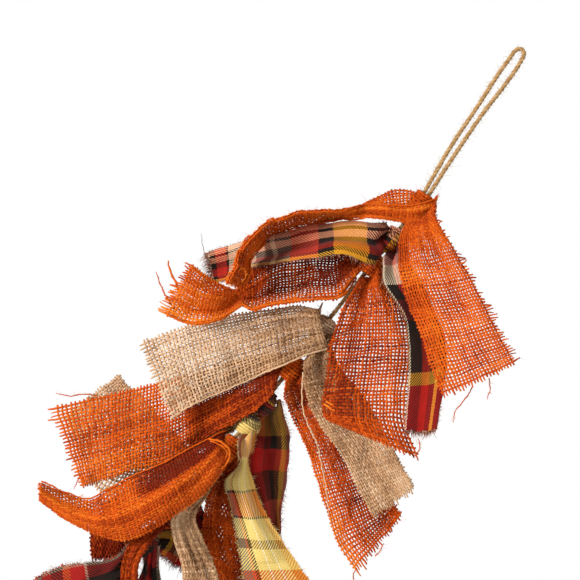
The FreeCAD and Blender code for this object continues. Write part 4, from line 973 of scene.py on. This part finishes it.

# ------------------------------------------------------------------ the ties
# The tone offsets along and across tails and the cup values below are painted shade and painted highlight, for tails
# and hollows in shadow and for lit rims; the rolled-edge tone lift is a painted highlight.
STYLE = {'orange_burlap_tie_1': {'wrap_half': 7.0,
                         'wrap_radius': 5.6,
                         'upper_tail': {'rows': [((-52.7, -5, -97.1), (-53.9, -5, -104.4), 0),
                                                 ((-62.7, -10, -96.7), (-62.7, -10, -107.0), 1),
                                                 ((-73.0, -11, -97.9), (-73.0, -11, -107.0), 1),
                                                 ((-85.1, -10, -97.3), (-85.2, -12, -105.5), 0.5),
                                                 ((-97.3, -11, -97.3), (-97.2, -9, -103.9), 0),
                                                 ((-114.4, -21, -97.9), (-114.0, 3, -106.1), -1),
                                                 ((-129.5, -26, -98.9), (-129.3, 5, -107.2), -2),
                                                 ((-144.5, -30, -101.4), (-144.6, 4, -112.2), -3),
                                                 ((-157.1, -34, -106.9), (-155.5, -1, -116.5), -3),
                                                 ((-166.0, -37, -116.0), (-162.1, -10, -124.0), -2),
                                                 ((-172.0, -39, -126.1), (-167.2, -15, -131.9), -1),
                                                 ((-176.7, -39, -135.1), (-168.7, -17, -139.2), 0),
                                                 ((-179.1, -38, -142.9), (-170.5, -20, -146.4), 0)],
                                        'folds': 1.2,
                                        'deep': 1.4,
                                        'knot_width': 16,
                                        'fray_end': 1.5,
                                        'fray_side': (0.5, 0.5),
                                        'painted_light_along': [(0, 0.0), (60, 0.02), (120, -0.06), (150, 0.0)],
                                        'painted_light_across': [(-1, 0.12), (-0.8, 0.1), (-0.6, 0.0), (0.6, 0.0), (0.8, 0.1), (1, 0.12)],
                                        'hem': ((-1, 2, 2.4), (1, 2, 2.4)),
                                        'hem_painted_highlight': 0.05},
                         'lower_tail': {'rows': [((-59.8, 0.4, -102.3), (-54.7, -0.4, -95.7), 0.0),
                                                 ((-73.3, -17.7, -110.8), (-52.9, -20.9, -105.4), 1),
                                                 ((-76.4, -21.4, -127.1), (-44.3, -29.4, -121.8), 1.5),
                                                 ((-73.6, -25.6, -147.0), (-34.1, -39.3, -140.5), 2),
                                                 ((-65.6, -36.0, -170.3), (-24.1, -49.9, -161.3), 2),
                                                 ((-57.7, -46.4, -193.4), (-15.3, -59.3, -179.5), 2),
                                                 ((-51.0, -54.7, -210.9), (-9.3, -65.4, -190.6), 2)],
                                        'folds': 0.7,
                                        'deep': 1.2,
                                        'radius': 0.455,
                                        'knot_width': 20,
                                        'fray_end': 2.4,
                                        'fray_side': (0.6, 3.6),
                                        'painted_light_along': [(0, -0.14), (30, -0.08), (110, -0.04)]},
                         'extra': [{'rows': [((-96.5, -4, -97.1), (-95.3, -4, -103.2), 0),
                                             ((-89.1, -3, -91.6), (-86.8, -5, -103.2), 1),
                                             ((-79.4, -3, -87.6), (-78.3, -5, -104.4), 1.5),
                                             ((-69.7, -3, -87.0), (-69.7, -5, -105.0), 1.5),
                                             ((-62.3, -2, -91.0), (-60.0, -4, -103.2), 0.5)],
                                    'width': 24.0,
                                    'folds': 0.6,
                                    'deep': 0.5,
                                    'knot_width': 9,
                                    'fray_end': 0,
                                    'fray_side': (0.4, 0.4),
                                    'fuzz': 400}],
                         'threads': [{'pts': [(-33.1, -52, -205.1), (-37.4, -54, -212.1), (-43.8, -53, -220.5), (-45.0, -52, -227.0)], 'r': 0.4},
                                     {'pts': [(-23.9, -56, -200.2), (-23.3, -56, -207.3), (-25.1, -56, -212.7)], 'r': 0.35},
                                     {'pts': [(-172.6, -34, -137.5), (-169.6, -36, -135.1), (-167.8, -35, -139.9), (-170.8, -34, -143.4)],
                                      'r': 0.25,
                                      'tone': 0.95},
                                     {'pts': [(-178.6, -34, -139.3), (-179.8, -33, -144.0), (-176.3, -33, -145.8)], 'r': 0.3, 'tone': 0.8}]},
 'plaid_flannel_tie_1': {'upper_tail': {'folds': 1.6, 'deep': 2.1, 'wrinkle': 0.6, 'knot_width': 16, 'fringe': 4.0},
                         'lower_tail': {'folds': 1.6, 'deep': 2.1, 'wrinkle': 0.5, 'knot_width': 14},
                         'threads': [{'pts': [(-192.7, -2, -128.7), (-194.5, -3, -122.0), (-195.7, -3, -113.5)], 'r': 0.18, 'tone': 0.1, 'fuzz': 0}]},
 'orange_burlap_tie_2': {'upper_tail': {'folds': 1.2,
                                        'knot_width': 16,
                                        'fray_end': 4.5,
                                        'prof': [(-1, 0), (0.45, 0), (0.62, 1.5), (0.8, 4.0), (1, 3.0)],
                                        'painted_light_along': [(0, -0.34), (70, -0.3), (92, 0.0), (105, 0.05)],
                                        'painted_light_across': [(-1, 0), (0.4, 0), (0.6, 0.25), (1, 0.32)],
                                        'hem': ((1, 2, 1.6),),
                                        'hem_painted_highlight': 0.1},
                         'lower_tail': {'folds': 1.4,
                                        'radius': 0.48,
                                        'knot_width': 26,
                                        'fray_end': 1.6,
                                        'fray_side': (0.8, 0.8),
                                        'painted_light_along': [(0, -0.28), (40, -0.2), (120, -0.14)]},
                         'threads': [{'pts': [(-207.6, -27, -151.8), (-210.0, -27, -144.0), (-213.1, -26, -138.0), (-214.9, -26, -130.8)],
                                      'r': 0.8,
                                      'tone': 0.55},
                                     {'pts': [(-210.0, -28, -160.8), (-216.0, -28, -151.8), (-219.0, -28, -145.8), (-222.0, -27, -137.4)],
                                      'r': 0.5,
                                      'tone': 0.45},
                                     {'pts': [(-121.0, -17, -217.1),
                                              (-108.3, -20, -225.4),
                                              (-90.4, -25, -236.1),
                                              (-75.5, -28, -243.7),
                                              (-66.0, -31, -247.7)],
                                      'r': 0.75,
                                      'tone': 0.85},
                                     {'pts': [(-119.8, -17, -215.3), (-105.3, -20, -224.2), (-87.4, -25, -234.2), (-70.7, -30, -242.4)],
                                      'r': 0.6,
                                      'tone': 0.8},
                                     {'pts': [(-66.0, -31, -247.1), (-63.6, -31, -243.0), (-64.7, -30, -237.0)], 'r': 0.35},
                                     {'pts': [(-80.7, -23, -153.0), (-79.5, -24, -161.5), (-80.1, -24, -169.9)], 'r': 0.4, 'tone': 0.6}]},
 'natural_burlap_tie_1': {'upper_tail': {'folds': 0.4,
                                         'deep': 0.7,
                                         'radius': 0.455,
                                         'knot_width': 26,
                                         'fray_end': 2.6,
                                         'fray_side': (1.0, 0.8),
                                         'painted_light_along': [(0, -0.3), (35, -0.22), (70, 0.0), (110, 0.15)],
                                         'hem': ((1, 1, 0.8),),
                                         'hem_painted_highlight': 0.1},
                          'lower_tail': {'folds': 1.4,
                                         'knot_width': 9,
                                         'fray_end': 3.0,
                                         'fray_side': (1.0, 2.2),
                                         'painted_light_along': [(0, -0.25), (40, -0.2), (70, -0.05)]},
                          'threads': [{'pts': [(-133.6, -13, -197.9),
                                               (-134.3, -15, -211.7),
                                               (-133.7, -16, -220.2),
                                               (-130.0, -16, -231.1),
                                               (-125.2, -16, -241.3),
                                               (-122.8, -15, -252.3),
                                               (-120.3, -14, -265.0),
                                               (-117.9, -13, -284.5)],
                                       'r': 0.45,
                                       'tone': 0.6},
                                      {'pts': [(-90.5, -8, -242.4), (-85.1, -10, -246.5), (-79.6, -10, -253.2), (-76.6, -9, -258.7)],
                                       'r': 0.25,
                                       'tone': 0.1}]},
 'orange_burlap_tie_3': {'upper_tail': {'folds': 0.5,
                                        'deep': 0.9,
                                        'radius': 0.455,
                                        'knot_width': 14,
                                        'wrinkle': 1.1,
                                        'fray_end': 3.4,
                                        'fray_side': (1.2, 1.6),
                                        'painted_light_along': [(0, -0.38), (60, -0.3), (82, -0.02), (120, 0.06)]},
                         'lower_tail': {'folds': 1.2,
                                        'radius': 0.48,
                                        'knot_width': 12,
                                        'fray_end': 3.5,
                                        'fray_side': (0.8, 1.6),
                                        'painted_light_along': [(0, -0.22), (60, -0.2), (120, -0.02)],
                                        'painted_light_across': [(-1, 0.2), (-0.8, 0.18), (-0.6, -0.05), (1, -0.05)]},
                         'threads': [{'pts': [(-258.5, -2, -212.8), (-267.0, -3, -211.6), (-275.5, -3, -212.8), (-284.0, -3, -211.0)],
                                      'r': 0.4,
                                      'tone': 0.4},
                                     {'pts': [(-268.2, -3, -257.8), (-270.6, -4, -263.9), (-273.0, -4, -269.4)], 'r': 0.35},
                                     {'pts': [(-89.6, 3, -310.8), (-86.6, 2, -307.6), (-84.1, 2, -302.7)], 'r': 0.35},
                                     {'pts': [(-100.6, 4, -318.2), (-103.0, 3, -323.0), (-101.8, 3, -327.9)], 'r': 0.35}]},
 'plaid_flannel_tie_2': {'lower_tail': {'folds': 1.7, 'deep': 1.9, 'knot_width': 14, 'fringe': 5.0, 'hairs': 600}},
 'yellow_plaid_tie': {'lower_tail': {'folds': 1.5, 'deep': 1.7, 'wrinkle': 0.5, 'knot_width': 10}},
 'orange_burlap_tie_4': {'upper_tail': {'folds': 0.4,
                                        'deep': 0.5,
                                        'wrinkle': 0.6,
                                        'knot_width': 14,
                                        'fray_end': 2.0,
                                        'fray_side': (0.8, 0.8),
                                        'prof': [(-1, -5), (-0.8, -4), (-0.55, 3), (0, 4), (1, 0)],
                                        'painted_light_along': [(0, 0.0), (60, 0.04)],
                                        'painted_cup_shade': (74, -0.22, -0.55),
                                        'hem': ((-1, 1, 0.8),),
                                        'hem_painted_highlight': 0.05},
                         'lower_tail': {'folds': 1.6, 'painted_light_along': [(0, -0.2), (120, -0.1)]},
                         'threads': [{'pts': [(-190.5, -16, -238.3),
                                              (-183.2, -18, -240.0),
                                              (-178.0, -19, -245.4),
                                              (-178.9, -19, -251.4),
                                              (-183.7, -20, -256.8)],
                                      'r': 0.7,
                                      'tone': 0.68},
                                     {'pts': [(-189.9, -16, -239.5), (-183.8, -18, -241.8), (-179.5, -19, -246.0), (-180.8, -19, -251.4)],
                                      'r': 0.5,
                                      'tone': 0.6},
                                     {'pts': [(-182.5, -20, -252.0), (-188.6, -20, -256.8), (-198.2, -20, -260.4), (-210.3, -20, -261.6)],
                                      'r': 0.4,
                                      'tone': 0.7},
                                     {'pts': [(-192.2, -19, -257.5), (-200.6, -20, -261.6), (-207.9, -20, -264.7)], 'r': 0.3, 'tone': 0.75},
                                     {'pts': [(-270.0, -20, -279.7), (-268.7, -21, -274.2), (-266.2, -22, -271.1)], 'r': 0.3, 'tone': 0.8},
                                     {'pts': [(-264.6, -20, -280.9), (-264.5, -21, -276.0), (-262.6, -22, -273.0)], 'r': 0.3, 'tone': 0.8}]},
 'natural_burlap_tie_2': {'upper_tail': {'folds': 0.9, 'fray_end': 1.6, 'fray_side': (1.0, 1.0)},
                          'lower_tail': {'rows': [((-190.6, -1.0, -264.6), (-183.8, 1.0, -260.1), 0.0),
                                                  ((-197.4, -9, -264.8), (-188.3, -6, -265.0), 0.5),
                                                  ((-200.9, -12, -273.1), (-191.3, -10, -272.0), 1),
                                                  ((-213.0, -13.5, -285.1), (-199.8, -10, -284.7), 1),
                                                  ((-211.9, -9, -300.0), (-194.5, -4, -300.4), 1),
                                                  ((-207.8, -5, -313.7), (-189.0, -2, -312.7), 1.5),
                                                  ((-206.1, -2, -326.2), (-184.8, 0, -325.7), 1.5),
                                                  ((-203.7, 0, -343.4), (-179.4, 3, -341.3), 1.5)],
                                         'folds': 1.2,
                                         'deep': 1.2,
                                         'painted_light_along': [(0, -0.28), (30, -0.12), (60, -0.08)],
                                         'fray_side': (0.8, 1.5)}},
 'plaid_flannel_tie_3': {'lower_tail': {'folds': 1.6, 'deep': 1.9}},
 'orange_burlap_tie_5': {'upper_tail': {'folds': 1.0, 'deep': 1.0, 'painted_light_along': [(0, -0.5), (100, -0.45)]},
                         'lower_tail': {'folds': 1.0, 'deep': 0.9, 'painted_light_along': [(0, -0.35), (100, -0.25)]}},
 'plaid_flannel_tie_4': {'upper_tail': {'folds': 1.6, 'deep': 2.0, 'fringe': 5.0, 'hairs': 1800}},
 'orange_burlap_tie_6': {'upper_tail': {'folds': 1.0, 'deep': 1.2, 'painted_light_along': [(0, -0.2), (100, -0.2)]}, 'lower_tail': {'folds': 1.2}}}


def build_tie(spec):
    name = spec["node"]
    st = STYLE.get(name, {})
    rng = np.random.default_rng(1000 + int(sum(ord(c) * (i + 3) for i, c in enumerate(name))))
    bd, fz = Builder(), Builder()
    burlap = "burlap" in name
    width = st.get("width", 50.0 if burlap else 34.0)
    mat = ORANGE if name.startswith("orange") else NATURAL if name.startswith("natural") else PLAID[name]
    fmat = mat if burlap else FUZZ[name]
    tails = []
    for side in ("upper_tail", "lower_tail"):
        o = dict(st.get(side, {}))
        shape = {k: o.pop(k) for k in ("folds", "deep", "wrinkle", "knot_width", "prof") if k in o}
        tl = Tail(o.pop("rows", spec[side]), rng, width=o.pop("width", width), **shape)
        tails.append(tl)
        if burlap:
            weave(bd, fz, tl, rng, width=tl.width, **o)
        else:
            flannel(bd, fz, tl, rng, side, **o)
    for ex in st.get("extra", []):
        o = dict(ex)
        shape = {k: o.pop(k) for k in ("folds", "deep", "wrinkle", "knot_width", "prof") if k in o}
        tl = Tail(o.pop("rows"), rng, width=o.pop("width", width), **shape)
        weave(bd, fz, tl, rng, width=tl.width, **o)
    wr = Wrap(spec["centre"], spec["along"], rng, half=st.get("wrap_half", 7.6), radius=st.get("wrap_radius", 5.4),
              start=st.get("wrap_start", 2.2), width=width)
    if burlap:
        weave(bd, fz, wr, rng, width=34.0, pitch=1.9, radius=0.45, fray_end=0.0, fray_side=(0.6, 0.6), fuzz=500, distort=0.3)
    else:
        flannel(bd, fz, wr, rng, "wrap")
    for th in st.get("threads", []):
        yarn_line(fz, fz, th["pts"], rng, radius=th.get("r", 0.42), tone=th.get("tone", 0.5), wob=th.get("wob", 0.3), fuzz=th.get("fuzz", 30))
    ob = bd.object(name + "_cloth", mat)
    fo = fz.object(name + "_fringe", fmat)
    body = BODY_OF[name]
    for o_ in (ob, fo):
        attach(o_, body)
    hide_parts(name)


def flannel(bd, fz, surf, rng, side, du=0.0, dv=0.0, thick=0.9, hairs=1400, fringe=3.0):
    L = surf.L
    width = surf.width
    wrap = isinstance(surf, Wrap)
    nu = max(24, int(L / 0.9))
    nv = 44
    s = np.linspace(0, L, nu)
    t = np.linspace(-1, 1, nv)
    S, T = np.meshgrid(s, t, indexing="ij")
    # slightly uneven cut edges
    if not wrap:
        ed = wave_noise(rng, 2, s, 16.0, 0.5)
        T = T * (1 + np.where(T > 0, ed[0][:, None], ed[1][:, None]) * 2 / width)
        S = S + (S / L) ** 8 * wave_noise(rng, 1, t * width / 2, 9.0, 0.8)[0][None, :]
    G = surf.pos(S, T)
    low = side == "lower_tail"
    U = np.clip(S + (200.0 if low else 0.0) + du, 200.5 if low else 0.5, 399.0 if low else 199.0)
    V = (T + 1) * width / 2 + (100.0 if low else 0.0) + dv
    bd.sheet(G, thick, np.stack([U, V], -1))
    if hairs and not wrap:
        k = hairs
        # hairs along both cut edges and the end
        es = rng.uniform(0, L, k)
        et = rng.choice([-1.0, 1.0], k)
        on_end = rng.uniform(0, 1, k) < 0.28
        es = np.where(on_end, L, es)
        et = np.where(on_end, rng.uniform(-1, 1, k), et)
        p = surf.pos(es, et)
        q = surf.pos(np.where(on_end, es + 1.0, es + rng.normal(0, 0.5, k)), np.where(on_end, et, et * (1 + 2.0 / width)))
        d = unit(q - p + rng.normal(0, 0.25, (k, 3)))
        ln = (rng.gamma(2.2, 0.42, k) * np.where(on_end, fringe * 0.55, fringe * 0.32))[:, None] + 0.3
        p2 = p + d * ln
        p2[:, 2] -= 0.05 * ln[:, 0] ** 2
        r = np.where(on_end, 0.13, 0.085)[:, None]
        fz.tubes(np.stack([p - d * 0.6, p + d * ln * 0.5 + rng.normal(0, 0.08, (k, 3)) * ln, p2 + rng.normal(0, 0.15, (k, 3)) * ln], 1),
                 r * np.array([[1, 0.9, 0.5]]), 3, None, 1.0, tone=rng.uniform(0.1, 0.95, (k, 1)) * np.ones((1, 3)), caps=False)


for spec in TIES:
    build_tie(spec)

# --------------------------------------------------------------- surroundings
scene = bpy.context.scene
scene.view_settings.view_transform = "Standard"
scene.view_settings.look = "None"
scene.view_settings.exposure = 0.0
world = bpy.data.worlds.new("white")
scene.world = world
world.use_nodes = True
wn = world.node_tree
bg = wn.nodes["Background"]
bg.inputs["Color"].default_value = (1, 1, 1, 1)
bg.inputs["Strength"].default_value = 0.26
bg2 = wn.nodes.new("ShaderNodeBackground")
bg2.inputs["Color"].default_value = (1, 1, 1, 1)
bg2.inputs["Strength"].default_value = 1.0
lp = wn.nodes.new("ShaderNodeLightPath")
mx = wn.nodes.new("ShaderNodeMixShader")
wn.links.new(lp.outputs["Is Camera Ray"], mx.inputs[0])
wn.links.new(bg.outputs[0], mx.inputs[1])
wn.links.new(bg2.outputs[0], mx.inputs[2])
wn.links.new(mx.outputs[0], wn.nodes["World Output"].inputs["Surface"])


def area(name, loc, target, size, power, col=(1, 1, 1)):
    l = bpy.data.lights.new(name, "AREA")
    l.shape = "DISK"
    l.size = size
    l.energy = power
    l.color = col
    o = bpy.data.objects.new(name, l)
    scene.collection.objects.link(o)
    o.location = loc
    o.rotation_euler = (Vector(target) - Vector(loc)).to_track_quat("-Z", "Y").to_euler()
    return o


MID = (-0.16, 0.0, -0.2)
area("key", (-1.6, -1.25, 0.22), MID, 0.6, 47)
area("top", (-0.1, -0.5, 1.5), MID, 0.6, 9)
area("fill", (1.1, -1.3, 0.2), MID, 1.0, 4.5)
area("rim", (0.2, 0.9, 1.0), MID, 0.8, 4)

fl = bpy.data.meshes.new("floor")
Z0 = -0.56
fl.from_pydata([(-1.4, -1.2, Z0), (1.1, -1.2, Z0), (1.1, 1.2, Z0), (-1.4, 1.2, Z0)], [], [(0, 1, 2, 3)])
flo = bpy.data.objects.new("floor", fl)
scene.collection.objects.link(flo)
fm, fb = base_material("pale_floor", 0.7, 0.0)
fb.inputs["Base Color"].default_value = (0.86, 0.86, 0.85, 1)
fl.materials.append(fm)

cam = bpy.data.cameras.new("camera")
cam.sensor_width = 36.0
cam.lens = 36.0 * 1.8 / 0.3538
co = bpy.data.objects.new("camera", cam)
scene.collection.objects.link(co)
co.location = (-0.14152, -1.8, -0.14823)
co.rotation_euler = (math.pi / 2, 0, 0)
scene.camera = co
